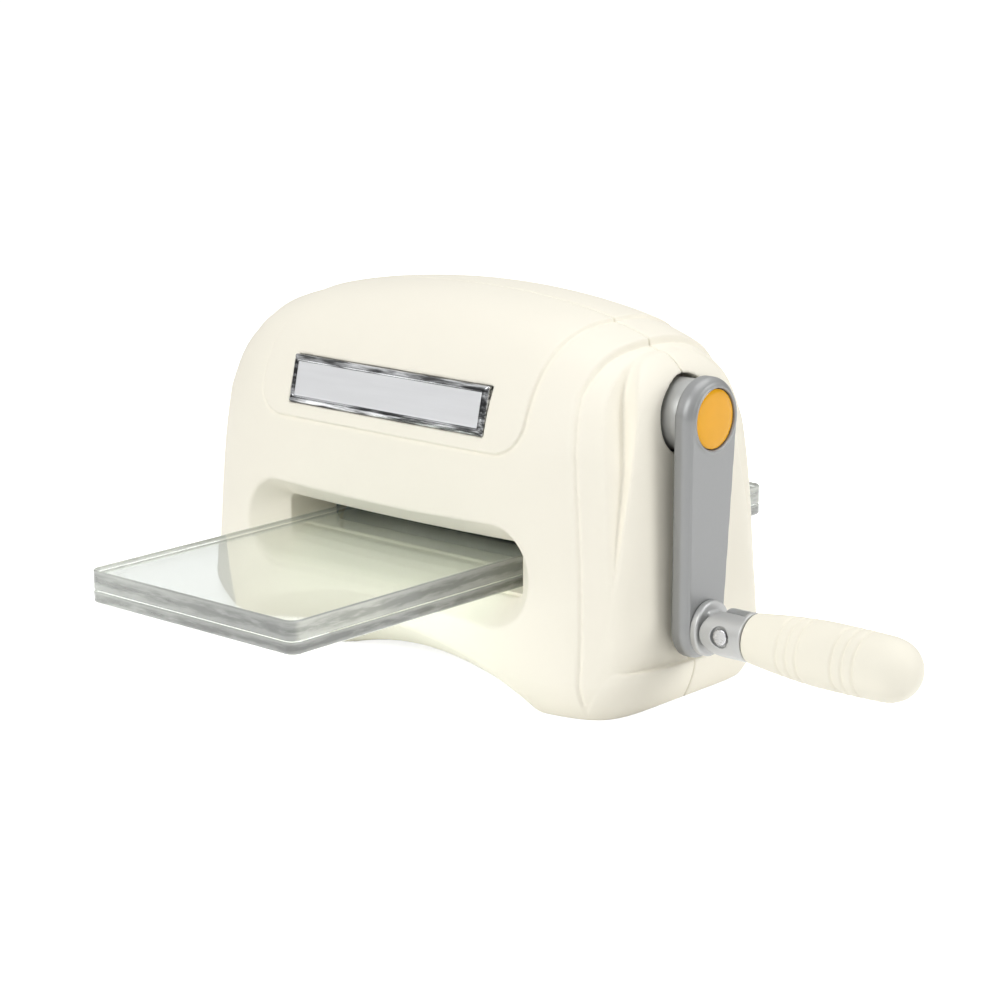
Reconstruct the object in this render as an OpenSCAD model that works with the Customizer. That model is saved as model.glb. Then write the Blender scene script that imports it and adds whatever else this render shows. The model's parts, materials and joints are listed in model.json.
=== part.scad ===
// Hand-cranked die cutting machine for paper craft.
// X runs along the rollers with the crank at +X, -Y is the front, +Z is up.
// The origin is on the resting surface, midway between the sides and on the
// parting plane of the two shells, which also holds the crank axis.

/* [Body] */
// Width of the body at the top of its base ledge
body_w = 139.2; // [136:0.1:146]
// Depth of the body at the top of its base ledge
body_d = 74.8; // [73:0.1:82]
// Height of the body over its raised top panel
body_h = 95; // [93:0.1:100]
// Height of the base ledge round the two ends
ledge_z = 10; // [8:0.1:13]
// Height where the sides start to round over into the top
shoulder_z = 72.5; // [70:0.1:75]
// Height where the front and back start to lean in
brow_z = 38; // [34:0.1:44]
// How far the ends draw in from the ledge to the shoulder
side_draft = 2.8; // [1:0.1:4]
// How far the foot of each end draws in under the ledge
foot_in_w = 3.3; // [2:0.1:5]
// How far the foot of the front and back draws in
foot_in_d = 5.0; // [3:0.1:6]
// Moulded wall under the deepest step of the outside
wall = 2.2; // [1.8:0.1:2.6]
// Gap left between the shells and what is mounted inside them
shell_gap = 0.3; // [0.2:0.05:0.5]

/* [Body styling] */
// Height that the top panel stands over the main surface
panel_step = 0.6; // [0.3:0.1:1.2]
// Half width of the raised top panel
panel_half_w = 43.6; // [40:0.1:46]
// Height of the lower edge of the raised top panel
panel_z = 62.2; // [60:0.1:63]
// Corner radius of the raised top panel
panel_r = 8; // [4:0.5:12]
// Depth of the step from the main surface to the end faces
side_step = 2; // [1.2:0.1:2.6]
// Half width of the main surface at the shoulder
band_half_top = 54.4; // [52:0.1:57]
// Half width of the main surface at the foot
band_half_foot = 60.8; // [59:0.1:62]
// Half width of the crank fairing at its foot
fairing_half_foot = 28.5; // [24:0.1:30]
// Radius of the crank fairing round the crank axis
fairing_r = 14.2; // [13:0.1:15]
// Distance of the fairing's face from the middle, at the ledge
fairing_x_foot = 69.2; // [68.5:0.1:69.6]
// Distance of the fairing's face from the middle, at its top
fairing_x_top = 65.2; // [64:0.1:66]

/* [Underside] */
// Height of the front arch at the middle of the front face
arch_z = 15; // [12:0.1:17]
// Radius of the front arch
arch_r = 115; // [100:1:140]
// Height of the inner rim of the undercut at the middle
rim_z = 4.7; // [3.6:0.1:6]
// Radius of the inner rim's arch
rim_r = 83; // [70:1:110]
// Distance of the inner rim from the parting plane
rim_y = 21; // [19:0.1:23]
// Thickness of the base cover
cover_t = 2.2; // [1.8:0.1:2.5]
// Radius of a rubber foot
foot_r = 6; // [4:0.5:7]
// Depth that a rubber foot sits in the base cover
foot_seat = 1; // [0.6:0.1:1.4]
// Height that a rubber foot stands under the base cover
foot_proud = 0.8; // [0.6:0.1:1.2]

/* [Slot] */
// Half width of the slot's inner opening
slot_half_w = 39.4; // [38:0.1:41]
// Height of the slot's inner opening, lower edge
slot_z0 = 25.9; // [25:0.1:26.2]
// Height of the slot's inner opening, upper edge
slot_z1 = 39.8; // [38:0.1:41]
// Distance of the inner opening from the parting plane
slot_y = 29.6; // [29:0.1:31]
// How far the flared recess reaches past the opening at each end
flare_w = 8.1; // [6:0.1:9]
// How far the flared recess reaches past the opening, up and down
flare_h = 5.5; // [4:0.1:6.5]

/* [Plates] */
// Width of the cutting plates
plate_w = 69; // [60:0.5:72]
// Length of the cutting plates
plate_l = 177; // [150:1:200]
// Thickness of the upper plate
upper_t = 5; // [3:0.1:5.2]
// Thickness of the lower plate
lower_t = 3; // [2:0.1:3.2]
// Height of the underside of the plates
plate_z = 26.9; // [26.7:0.1:27.2]
// Distance of the plates' front edge from the parting plane
plate_front = 101; // [90:1:110]
// Corner radius of the plates
plate_r = 3; // [1:0.5:6]

/* [Rollers and gears] */
// Radius of each roller
roller_r = 8.5; // [7.5:0.1:8.8]
// Gap between a roller and the plate that it presses
roller_gap = 0.3; // [0.2:0.05:0.5]
// Half length of each roller
roller_half = 41.5; // [38:0.1:42]
// Radius of the roller journals
journal_r = 4; // [3:0.1:4.5]
// Running clearance of every shaft in its bush, on the radius
run_gap = 0.05; // [0.02:0.01:0.1]
// Teeth of the pinion on the crank shaft
pinion_teeth = 12; // [12:1:14]
// Teeth of the drive gear on the upper roller
drive_teeth = 28; // [24:1:30]
// Teeth of each of the two gears that tie the rollers together
sync_teeth = 20; // [18:1:22]
// Face width of the gears
gear_w = 6; // [4:0.5:6.5]
// Backlash of each gear mesh, along the pitch circle
backlash = 0.3; // [0.15:0.05:0.4]

/* [Frame] */
// Distance of the side frames' inner faces from the middle
frame_x = 44; // [43:0.1:45]
// Thickness of the steel frame plates
frame_t = 2.5; // [2:0.1:3]
// Clear space for the drive gears between the frame and the gear plate
gear_bay = 10; // [8.5:0.1:10]
// Radius of the tie rods
rod_r = 2.5; // [2:0.1:3]
// Radius of the bushes' bodies
bush_r = 6; // [5.5:0.1:6.5]
// Radius of the bushes' flanges
bush_flange_r = 8; // [7:0.1:8.4]
// Thickness of the bushes' flanges
bush_flange_t = 1; // [0.8:0.1:1.2]
// Thickness of the plate guides
guide_t = 1.5; // [1:0.1:1.8]

/* [Crank] */
// Height of the crank axis
crank_z = 70.2; // [69:0.1:71]
// Distance between the crank axis and the handle's axis
crank_throw = 50.5; // [46:0.1:54]
// Angle that the crank hangs off the vertical at rest, lower end to the front
crank_lean = 2.3; // [0:0.1:5]
// Radius of the crank shaft
shaft_r = 4.5; // [4:0.1:5]
// Radius of the hole for the crank in the shells
crank_hole_r = 10.3; // [9.8:0.1:11]
// Radius of the silver hub behind the arm
hub_r = 8.8; // [8:0.1:9.2]
// Distance of the hub's inner end from the middle
hub_x = 61; // [60.5:0.1:62]
// Distance of the arm's inner face from the middle
arm_x = 69.6; // [69.6:0.1:71]
// Thickness of the arm
arm_t = 4.7; // [4:0.1:6]
// Radius of the arm's upper end
arm_r_top = 9.7; // [9.6:0.1:11]
// Radius of the arm's lower end
arm_r_low = 7.8; // [7:0.1:9]
// Width of the bevel round the arm's outer face
arm_bevel = 1.4; // [0.5:0.1:2]
// Radius of the round badge
badge_r = 7.4; // [6:0.1:8]
// Height of the ring round the badge over the arm's face
badge_ring_h = 0.4; // [0.2:0.1:0.8]

// Width of the ring round the badge
badge_ring_w = 0.9; // [0.5:0.1:1.2]

/* [Handle] */
// Radius of the collar that carries the fold joint
collar_r = 6.8; // [6.2:0.1:7.4]
// Gap between the collar and the round end of the fork
fold_gap = 0.2; // [0.1:0.05:0.5]
// Distance of the fold pin from the arm's outer face
fold_reach = 8.1; // [8:0.1:10]
// Radius of the handle's metal fork
fork_r = 6; // [5.5:0.1:6.5]
// Length of the fork past the fold pin
fork_l = 5.9; // [5:0.1:8]
// Radius of the fold pin
pin_r = 1.6; // [1.2:0.1:2]
// Thickness of the tongue between the fork's ears
tongue_t = 4; // [3:0.1:5]
// Side gap between the tongue and the fork's ears
tongue_gap = 0.3; // [0.2:0.05:0.5]
// Radius of the grip at its widest
grip_r = 7.9; // [7.2:0.1:8]
// Length of the grip
grip_l = 45.6; // [40:0.1:50]
// Radius of the spindle that the grip turns on
spindle_r = 3; // [2.5:0.1:3.5]
// Depth of the grooves round the grip
groove_d = 0.35; // [0.2:0.05:0.6]
// Width of the grooves round the grip
groove_w = 1; // [0.6:0.1:1.6]

/* [Fasteners] */
// Radius of the screws' shanks
screw_r = 1.5; // [1.2:0.1:1.6]
// Radius of the screws' heads
head_r = 2.8; // [2.4:0.1:3]
// Thickness of the screws' heads
head_t = 1.6; // [1.2:0.1:1.8]
// Radius of the shells' screw posts
post_r = 3.4; // [3:0.1:4]

/* [Hidden] */

CREAM = "#f6f1e0";
SILVER = "#b0b2b3";
STEEL = "#8d9196";
BRONZE = "#b08d57";
eps = 0.01;
far = 200;

// Body form: half sizes at the top of the panel, before any step inwards.
half_w = body_w / 2 + panel_step;
half_d = body_d / 2 + panel_step;
side_in = panel_step + side_step;
inner_in = side_in + wall;
squareness_at = [[0, 6.5], [65, 4.7], [80, 3.35], [body_h, 2.15]];
steps = 26;
levels = concat(
    [for (i = [0:3]) ledge_z * i / 3],
    [for (i = [1:2]) ledge_z + (brow_z - ledge_z) * i / 2],
    [for (i = [1:3]) brow_z + (shoulder_z - brow_z) * i / 3],
    [for (i = [1:9]) shoulder_z + (body_h - shoulder_z) * sin(84 * i / 9)]
);

// Heights of the plates, rollers and gears.
plate_mid_z = plate_z + lower_t;
plate_top_z = plate_mid_z + upper_t;
upper_z = plate_top_z + roller_gap + roller_r;
lower_z = plate_z - roller_gap - roller_r;
drive_module = 2 * (crank_z - upper_z) / (pinion_teeth + drive_teeth);
sync_module = (upper_z - lower_z) / sync_teeth;
guide_z = plate_z - roller_gap;

// Stations along X.
frame_out = frame_x + frame_t;
bay_x = frame_out + gear_bay;
gear_plate_out = bay_x + frame_t;
gear_x = frame_out + (gear_bay - gear_w) / 2;
sync_x = frame_out + 1.5;
arm_out = arm_x + arm_t;
pin_x = arm_out + fold_reach;
fork_end = pin_x + fork_l;
collar_end = pin_x - fork_r - fold_gap;
grip_x = fork_end + 0.3;
ring_gap = 0.3;
ring_t = 1;
ring_lip = 2;

// Grip grooves, in two groups of three, and the snap that holds the grip.
groove_x = [10.9, 26.6];
groove_pitch = 2.9;
snap_h = 0.8;
snap_l = 3;
spindle_short = 8;

// Base cover and frames.
cover_z = foot_proud;
cover_top = cover_z + cover_t;
cover_y = rim_y - shell_gap;
cover_corner = 1.2;
cover_x = half_w - inner_in - foot_in_w * 0.9 - shell_gap - cover_corner;
feet_x = 53;
feet_y = 12;
flange_w = 8;
flange_y = 12;
flange_screw_y = 7;
frame_foot_y = 19;
frame_waist_y = 25;
frame_waist_z = 50;
frame_top_y = 16;
frame_top_z = crank_z + 9;
rod_spot = [12.5, 64.5];
stud_l = 4;
nut_t = 2.4;
nut_r = 3.4;
top_screw = [33, 83];
low_screw = [61.2, 8];
low_spacers = [[-16, 21.5], [16, 21.5]];
spacer_spots = concat([[-rod_spot[0], rod_spot[1]], rod_spot], low_spacers);
spacer_r = 2.4;
spacer_bore = screw_r + 0.15;

// Outline of the gear plate, from its foot to its top round the crank.
bay_foot_y = 20;
bay_foot_z = 17.5;
bay_heel_z = 27;
bay_waist_y = 16;
bay_waist_z = 60;
bay_arm_y = 15;
bay_arm_z = crank_z - 1.2;
bay_top_y = 5;
bay_top_z = crank_z + 7.6;

// Pocket inside the shells that keeps them clear of the pinion and gear plate.
tooth_tip = 0.95;
relief_gap = 0.8;
relief_r = drive_module * (pinion_teeth / 2 + tooth_tip) + relief_gap;

// Shell screws and plate guides.
screw_l = 15;
screw_seat_y = 8;
guide_y_in = roller_r + 2;
guide_y_out = slot_y - 2.2;
guide_lip = 5;

// Label on the front panel.
label_w = 65;
label_h = 12.2;
label_t = 2;
label_lean = 13.3;
label_z = 71.6;
label_y = 34;
bezel_w = 1.7;
label_slack = 0.1;

function ease(z) = pow(1 - min(z, ledge_z) / ledge_z, 1.6);
function crown(z, from, p, q) =
    z <= from ? 1 : pow(max(0, 1 - pow((z - from) / (body_h - from), p)), 1 / q);
function half_w_at(z) =
    (half_w - foot_in_w * ease(z)
        - side_draft * max(0, z - ledge_z) / (shoulder_z - ledge_z))
    * crown(z, shoulder_z, 2.92, 1.96);
function half_d_at(z) = (half_d - foot_in_d * ease(z)) * crown(z, brow_z, 2.58, 3.15);
function squareness(z) = lookup(z, squareness_at);
function bend(v, e) = sign(v) * pow(abs(v), e);
function half_ring(z, inset) = [
    for (i = [0:steps])
        let (a = 180 * i / steps, e = 2 / squareness(z))
        [(half_w_at(z) - inset) * bend(cos(a), e), -(half_d_at(z) - inset) * bend(sin(a), e)]
];

// The front half of the body form, drawn in by inset all over.
module half_form(inset) {
    n = steps + 1;
    m = len(levels);
    points = [
        for (z = levels) each
            [for (p = half_ring(z, inset)) [p[0], p[1], z * (body_h - inset) / body_h]]
    ];
    sides = [
        for (k = [0:m - 2]) for (i = [0:n - 1])
            let (j = (i + 1) % n)
            each [
                [k * n + i, k * n + j, (k + 1) * n + i],
                [k * n + j, (k + 1) * n + j, (k + 1) * n + i]
            ]
    ];
    base = [for (i = [n - 1:-1:0]) i];
    top = [for (i = [0:n - 1]) (m - 1) * n + i];
    polyhedron(points, concat([base], sides, [top]));
}

// Extrudes an outline drawn in X and Z from y0 towards the front.
module along_y(y0, length) {
    translate([0, y0, 0]) rotate([90, 0, 0]) linear_extrude(length) children();
}

// Extrudes an outline drawn in Y and Z from x0 towards the crank side.
module along_x(x0, length) {
    translate([x0, 0, 0]) rotate([90, 0, 90]) linear_extrude(length) children();
}

// A cylinder whose axis is parallel to X.
module x_rod(x0, x1, r, y = 0, z = 0, fn = 64) {
    translate([x0, y, z]) rotate([0, 90, 0]) cylinder(r = r, h = x1 - x0, $fn = fn);
}

// A cylinder whose axis is parallel to Y.
module y_rod(y0, y1, r, x = 0, z = 0, fn = 48) {
    translate([x, y1, z]) rotate([90, 0, 0]) cylinder(r = r, h = y1 - y0, $fn = fn);
}

// A rectangle with exact round corners, from its low to its high corner.
module round_box(low, high, r) {
    translate([low[0] + r, low[1]]) square([high[0] - low[0] - 2 * r, high[1] - low[1]]);
    translate([low[0], low[1] + r]) square([high[0] - low[0], high[1] - low[1] - 2 * r]);
    for (x = [low[0] + r, high[0] - r])
        for (y = [low[1] + r, high[1] - r])
            translate([x, y]) circle(r = r, $fn = 48);
}

module panel_outline() {
    round_box([-panel_half_w, panel_z], [panel_half_w, body_h + 3 * panel_r], panel_r);
}

module main_outline() {
    polygon([
        [-band_half_foot, -1], [band_half_foot, -1],
        [band_half_top, shoulder_z + 5], [band_half_top, body_h + 5],
        [-band_half_top, body_h + 5], [-band_half_top, shoulder_z + 5]
    ]);
}

// The pad that stands over the end face round the crank, on both ends.
module fairing() {
    for (side = [0, 1]) mirror([side, 0, 0])
        intersection() {
            along_x(half_w - 20, 25) {
                polygon([
                    [-fairing_half_foot, ledge_z - 2], [0, ledge_z - 2],
                    [0, crank_z], [-fairing_r, crank_z]
                ]);
                intersection() {
                    translate([0, crank_z - 1]) circle(r = fairing_r, $fn = 64);
                    translate([-fairing_r, crank_z - fairing_r]) square([fairing_r, 2 * fairing_r]);
                }
            }
            along_y(0, half_d) polygon([
                [half_w - 20, 0], [fairing_x_foot, 0], [fairing_x_foot, ledge_z],
                [fairing_x_top, crank_z + fairing_r], [half_w - 20, crank_z + fairing_r]
            ]);
        }
}

function arc_z(top, r, x) = top - r + sqrt(r * r - x * x);

// Everything under the undercut, which rises from the inner rim to the front
// arch. It is moved up by lift and stops at the inner rim's plane.
module undercut(lift, y_rim) {
    reach = 64;
    parts = 14;
    front_y = half_d + 4;
    slope = (front_y - rim_y) / (half_d - panel_step - rim_y);
    xs = [for (i = [0:parts]) -reach + 2 * reach * i / parts];
    rim = [for (x = xs) [x, -y_rim, lift + arc_z(rim_z, rim_r, x)]];
    front = [
        for (x = xs)
            let (a = arc_z(rim_z, rim_r, x), b = arc_z(arch_z, arch_r, x))
            [x, -front_y, lift + a + (b - a) * slope]
    ];
    low = -60;
    n = parts + 1;
    points = concat(rim, front, [
        [-reach, -y_rim, low], [reach, -y_rim, low],
        [reach, -front_y, low], [-reach, -front_y, low]
    ]);
    tops = [for (i = [0:parts - 1]) each [[i, i + 1, n + i], [i + 1, n + i + 1, n + i]]];
    polyhedron(points, concat(tops, [
        concat([for (i = [parts:-1:0]) i], [2 * n, 2 * n + 1]),
        concat([for (i = [0:parts]) n + i], [2 * n + 2, 2 * n + 3]),
        [0, n, 2 * n + 3, 2 * n],
        [parts, 2 * n + 1, 2 * n + 2, n + parts],
        [2 * n, 2 * n + 3, 2 * n + 2, 2 * n + 1]
    ]));
}

// The flared mouth of the slot, grown by grow all round.
module mouth(grow, y_in) {
    hull() {
        along_y(-y_in, 0.1)
            round_box([-slot_half_w - grow, slot_z0 - grow],
                [slot_half_w + grow, slot_z1 + grow], 4 + grow);
        along_y(-half_d, 0.1)
            round_box([-slot_half_w - flare_w - grow, slot_z0 - flare_h - grow],
                [slot_half_w + flare_w + grow, slot_z1 + flare_h + grow], 11 + grow);
    }
}

module label_place() {
    translate([0, -label_y, label_z]) rotate([-label_lean, 0, 0]) children();
}

// Posts that the shell screws run in, clipped by the shell's outside.
module posts() {
    for (side = [-1, 1]) {
        y_rod(-half_d_at(top_screw[1]) + side_in, 0, post_r, side * top_screw[0], top_screw[1]);
        y_rod(-half_d + side_in + foot_in_d, 0, post_r, side * low_screw[0], low_screw[1]);
    }
}

// One shell with everything that both have, open towards the parting plane.
module shell_blank() {
    difference() {
        union() {
            difference() {
                union() {
                    intersection() {
                        half_form(0);
                        along_y(1, half_d + 5) panel_outline();
                    }
                    intersection() {
                        half_form(panel_step);
                        union() {
                            along_y(1, half_d + 5) main_outline();
                            translate([-far / 2, -far, -1]) cube([far, far + 1, ledge_z + 1]);
                        }
                    }
                    half_form(side_in);
                    fairing();
                }
                difference() {
                    translate([0, 1, -1]) half_form(inner_in);
                    undercut(wall, rim_y);
                }
            }
            intersection() {
                half_form(side_in);
                union() {
                    posts();
                    mouth(wall, slot_y - 1);
                }
            }
        }
        undercut(0, rim_y);
        mouth(0, slot_y);
        along_y(-slot_y + 3, 3.5)
            round_box([-slot_half_w, slot_z0], [slot_half_w, slot_z1], 4);
        along_y(-half_d + eps, 20)
            round_box([-slot_half_w - flare_w, slot_z0 - flare_h],
                [slot_half_w + flare_w, slot_z1 + flare_h], 11);
        x_rod(half_w - 15, half_w + 5, crank_hole_r, 0, crank_z);
        x_rod(gear_x - relief_gap, gear_plate_out + relief_gap, relief_r, 0, crank_z);
    }
}

module front_shell() {
    color(CREAM) difference() {
        shell_blank();
        label_place() translate([-label_w / 2 - label_slack, 0, -label_h / 2 - label_slack])
            mirror([0, 1, 0]) translate([0, -label_t, 0])
                cube([label_w + 2 * label_slack, label_t + 5, label_h + 2 * label_slack]);
        for (side = [-1, 1]) {
            y_rod(-screw_l - 1, 1, screw_r, side * top_screw[0], top_screw[1]);
            y_rod(-screw_l - 1, 1, screw_r, side * low_screw[0], low_screw[1]);
        }
    }
}

module rear_shell() {
    color(CREAM) difference() {
        mirror([0, 1, 0]) shell_blank();
        for (side = [-1, 1]) for (spot = [top_screw, low_screw]) {
            y_rod(-1, half_d, screw_r + 0.15, side * spot[0], spot[1]);
            y_rod(screw_seat_y, half_d, head_r + 0.2, side * spot[0], spot[1]);
        }
    }
}

module shell_screws() {
    color(STEEL) for (side = [-1, 1]) for (spot = [top_screw, low_screw]) {
        y_rod(-screw_l, screw_seat_y, screw_r, side * spot[0], spot[1]);
        y_rod(screw_seat_y, screw_seat_y + head_t, head_r, side * spot[0], spot[1]);
    }
}

module label_bezel() {
    color(SILVER) label_place() difference() {
        hull() {
            translate([-label_w / 2, -0.3, -label_h / 2]) cube([label_w, label_t + 0.3, label_h]);
            translate([-label_w / 2 + 1.2, -0.9, -label_h / 2 + 1.2])
                cube([label_w - 2.4, 0.5, label_h - 2.4]);
        }
        translate([-label_w / 2 + bezel_w, -2, -label_h / 2 + bezel_w])
            cube([label_w - 2 * bezel_w, 2.6, label_h - 2 * bezel_w]);
    }
}

module label_field() {
    color("#d9dadb") label_place()
        translate([-label_w / 2 + bezel_w, -0.8, -label_h / 2 + bezel_w])
            cube([label_w - 2 * bezel_w, 1.4, label_h - 2 * bezel_w]);
}

module cover_outline() {
    flat = sqrt(rim_r * rim_r - pow(rim_r - rim_z + cover_z, 2));
    parts = 12;
    arc = [for (i = [0:parts]) let (x = flat - 2 * flat * i / parts) [x, arc_z(rim_z, rim_r, x)]];
    polygon(concat([[-cover_x, cover_z]], [for (i = [parts:-1:0]) arc[i]],
        [[cover_x, cover_z], [cover_x, cover_top]],
        [for (p = arc) [p[0], p[1] + cover_t]],
        [[-cover_x, cover_top]]));
}

module frame_screw_spots() {
    for (side = [-1, 1]) for (y = [-flange_screw_y, flange_screw_y])
        translate([side * (frame_x - flange_w / 2), y, 0]) children();
}

module base_cover() {
    color(CREAM) difference() {
        along_y(cover_y, 2 * cover_y) cover_outline();
        frame_screw_spots() {
            translate([0, 0, -1]) cylinder(r = screw_r + 0.15, h = 10, $fn = 48);
            translate([0, 0, -1]) cylinder(r = head_r + 0.2, h = cover_z + 2, $fn = 48);
        }
        for (x = [-feet_x, feet_x]) for (y = [-feet_y, feet_y])
            translate([x, y, 0]) cylinder(r = foot_r, h = cover_z + foot_seat, $fn = 48);
    }
}

module rubber_feet() {
    color("#2b2b2c") for (x = [-feet_x, feet_x]) for (y = [-feet_y, feet_y])
        translate([x, y, 0]) cylinder(r = foot_r, h = foot_proud + foot_seat, $fn = 48);
}

module frame_screws() {
    color(STEEL) frame_screw_spots() {
        translate([0, 0, cover_z + 1]) cylinder(r = screw_r, h = cover_t + frame_t, $fn = 48);
        translate([0, 0, cover_z - 0.3]) cylinder(r = head_r, h = 1.3, $fn = 48);
    }
}

module frame_outline() {
    polygon([
        [-frame_foot_y, cover_top], [frame_foot_y, cover_top],
        [frame_waist_y, cover_top + 8], [frame_waist_y, frame_waist_z],
        [frame_top_y, frame_top_z - 6], [frame_top_y - 6, frame_top_z],
        [-frame_top_y + 6, frame_top_z], [-frame_top_y, frame_top_z - 6],
        [-frame_waist_y, frame_waist_z], [-frame_waist_y, cover_top + 8]
    ]);
}

module side_frame(crank_seat) {
    difference() {
        union() {
            along_x(frame_x, frame_t) frame_outline();
            translate([frame_x - flange_w, -flange_y, cover_top])
                cube([flange_w + frame_t, 2 * flange_y, frame_t]);
        }
        for (z = [upper_z, lower_z])
            x_rod(frame_x - 1, frame_out + 1, bush_r, 0, z);
        if (crank_seat) {
            x_rod(frame_x - 1, frame_out + 1, bush_r, 0, crank_z);
            for (spot = low_spacers)
                x_rod(frame_x - 1, frame_out + 1, spacer_bore, spot[0], spot[1], 32);
        }
        for (y = [-rod_spot[0], rod_spot[0]])
            x_rod(frame_x - 1, frame_out + 1, spacer_bore, y, rod_spot[1], 32);
        for (y = [-flange_screw_y, flange_screw_y])
            translate([frame_x - flange_w / 2, y, cover_top - 1])
                cylinder(r = screw_r, h = frame_t + 2, $fn = 48);
    }
}

module right_frame() {
    color(STEEL) side_frame(true);
}

module left_frame() {
    color(STEEL) mirror([1, 0, 0]) side_frame(false);
}

module gear_plate() {
    color(STEEL) difference() {
        along_x(bay_x, frame_t) polygon([
            [-bay_foot_y, bay_foot_z], [bay_foot_y, bay_foot_z], [bay_foot_y, bay_heel_z],
            [bay_waist_y, bay_waist_z], [bay_arm_y, bay_arm_z], [bay_top_y, bay_top_z],
            [-bay_top_y, bay_top_z], [-bay_arm_y, bay_arm_z], [-bay_waist_y, bay_waist_z],
            [-bay_foot_y, bay_heel_z]
        ]);
        x_rod(bay_x - 1, gear_plate_out + 1, bush_r, 0, crank_z);
        x_rod(bay_x - 1, gear_plate_out + 1, journal_r + 2, 0, upper_z);
        for (spot = spacer_spots)
            x_rod(bay_x - 1, gear_plate_out + 1, spacer_bore, spot[0], spot[1], 32);
    }
}

module plate_spacers() {
    color(SILVER) for (spot = spacer_spots) difference() {
        x_rod(frame_out, bay_x, spacer_r, spot[0], spot[1], 48);
        x_rod(frame_out - 1, bay_x + 1, spacer_bore, spot[0], spot[1], 32);
    }
}

module spacer_screws() {
    color(STEEL) {
        for (spot = spacer_spots) {
            x_rod(bay_x - stud_l, gear_plate_out, screw_r, spot[0], spot[1], 32);
            x_rod(gear_plate_out, gear_plate_out + head_t, head_r, spot[0], spot[1], 48);
        }
        for (spot = low_spacers) {
            x_rod(frame_x, frame_out + stud_l, screw_r, spot[0], spot[1], 32);
            x_rod(frame_x - head_t, frame_x, head_r, spot[0], spot[1], 48);
        }
    }
}

// A moulded shelf that carries the plates up to the rollers.
module guide() {
    color(CREAM) along_x(-frame_x, 2 * frame_x) polygon([
        [-guide_y_out, guide_z - guide_lip], [-guide_y_out + guide_t, guide_z - guide_lip],
        [-guide_y_out + guide_t, guide_z - guide_t], [-guide_y_in, guide_z - guide_t],
        [-guide_y_in, guide_z], [-guide_y_out, guide_z]
    ]);
}

module front_guide() {
    guide();
}

module rear_guide() {
    mirror([0, 1, 0]) guide();
}

// A rod whose right stud screws into a spacer and whose left stud takes a nut.
module tie_rod(y) {
    color(STEEL) {
        x_rod(-frame_x, frame_x, rod_r, y, rod_spot[1], 48);
        x_rod(-frame_out - nut_t, frame_out + stud_l, screw_r, y, rod_spot[1], 32);
    }
}

module front_tie_rod() {
    tie_rod(-rod_spot[0]);
}

module rear_tie_rod() {
    tie_rod(rod_spot[0]);
}

module tie_rod_nuts() {
    color(BRONZE) for (y = [-rod_spot[0], rod_spot[0]]) difference() {
        x_rod(-frame_out - nut_t, -frame_out, nut_r, y, rod_spot[1], 6);
        x_rod(-frame_out - nut_t - 1, -frame_out + 1, screw_r, y, rod_spot[1], 32);
    }
}

// A flanged bush in the frame plate whose inner face is at x0.
module bush(x0, z, bore) {
    color(BRONZE) difference() {
        union() {
            x_rod(x0, x0 + frame_t, bush_r, 0, z);
            x_rod(x0 - bush_flange_t, x0, bush_flange_r, 0, z);
        }
        x_rod(x0 - 3, x0 + frame_t + 1, bore + run_gap, 0, z);
    }
}

module bush_upper_left() {
    mirror([1, 0, 0]) bush(frame_x, upper_z, journal_r);
}

module bush_upper_right() {
    bush(frame_x, upper_z, journal_r);
}

module bush_lower_left() {
    mirror([1, 0, 0]) bush(frame_x, lower_z, journal_r);
}

module bush_lower_right() {
    bush(frame_x, lower_z, journal_r);
}

module bush_crank_inner() {
    bush(frame_x, crank_z, shaft_r);
}

module bush_crank_outer() {
    bush(bay_x, crank_z, shaft_r);
}

// Involute tooth geometry.
function inv_point(base, t) = [
    base * (cos(t) + t * PI / 180 * sin(t)), base * (sin(t) - t * PI / 180 * cos(t))
];
function turned(p, a) = [p[0] * cos(a) - p[1] * sin(a), p[0] * sin(a) + p[1] * cos(a)];
function roll_angle(base, r) = sqrt(max(0, pow(r / base, 2) - 1)) * 180 / PI;
function polar_angle(base, r) = let (p = inv_point(base, roll_angle(base, r))) atan2(p[1], p[0]);

// A spur gear in X and Y with a tooth on +X, bored to fit a shaft.
module spur(teeth, module_mm, bore, width) {
    pitch_r = teeth * module_mm / 2;
    base_r = pitch_r * cos(20);
    tip_r = pitch_r + tooth_tip * module_mm;
    root_r = pitch_r - 1.2 * module_mm;
    half_tooth = 90 / teeth - backlash / 4 / pitch_r * 180 / PI;
    lead = half_tooth + polar_angle(base_r, pitch_r);
    from_r = max(base_r, root_r + eps);
    flank = [
        for (i = [0:4])
            let (r = from_r + (tip_r - from_r) * i / 4)
            inv_point(base_r, roll_angle(base_r, r))
    ];
    tooth = concat(
        [turned([root_r, 0], -lead)],
        [for (p = flank) turned(p, -lead)],
        [for (i = [4:-1:0]) turned([flank[i][0], -flank[i][1]], lead)],
        [turned([root_r, 0], lead)]
    );
    linear_extrude(width) difference() {
        polygon([for (k = [0:teeth - 1]) each [for (p = tooth) turned(p, 360 * k / teeth)]]);
        circle(r = bore, $fn = 64);
    }
}

// A spur gear on an axis parallel to X, from x0, with a tooth pointing at
// angle from +Z, measured towards +Y.
module x_gear(teeth, module_mm, bore, x0, z, angle) {
    translate([x0, 0, z]) rotate([-angle, 0, 0]) rotate([0, -90, 180])
        spur(teeth, module_mm, bore, gear_w);
}

// A split retaining ring in a groove of a shaft.
module ring_on(x0, z, r) {
    difference() {
        x_rod(x0, x0 + ring_t, r + ring_lip, 0, z);
        x_rod(x0 - 1, x0 + ring_t + 1, r, 0, z);
    }
}

module roller(z, right_end) {
    color(SILVER) {
        x_rod(-roller_half, roller_half, roller_r, 0, z, 96);
        x_rod(-sync_x - gear_w - ring_t - 1, right_end, journal_r, 0, z);
    }
}

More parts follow.
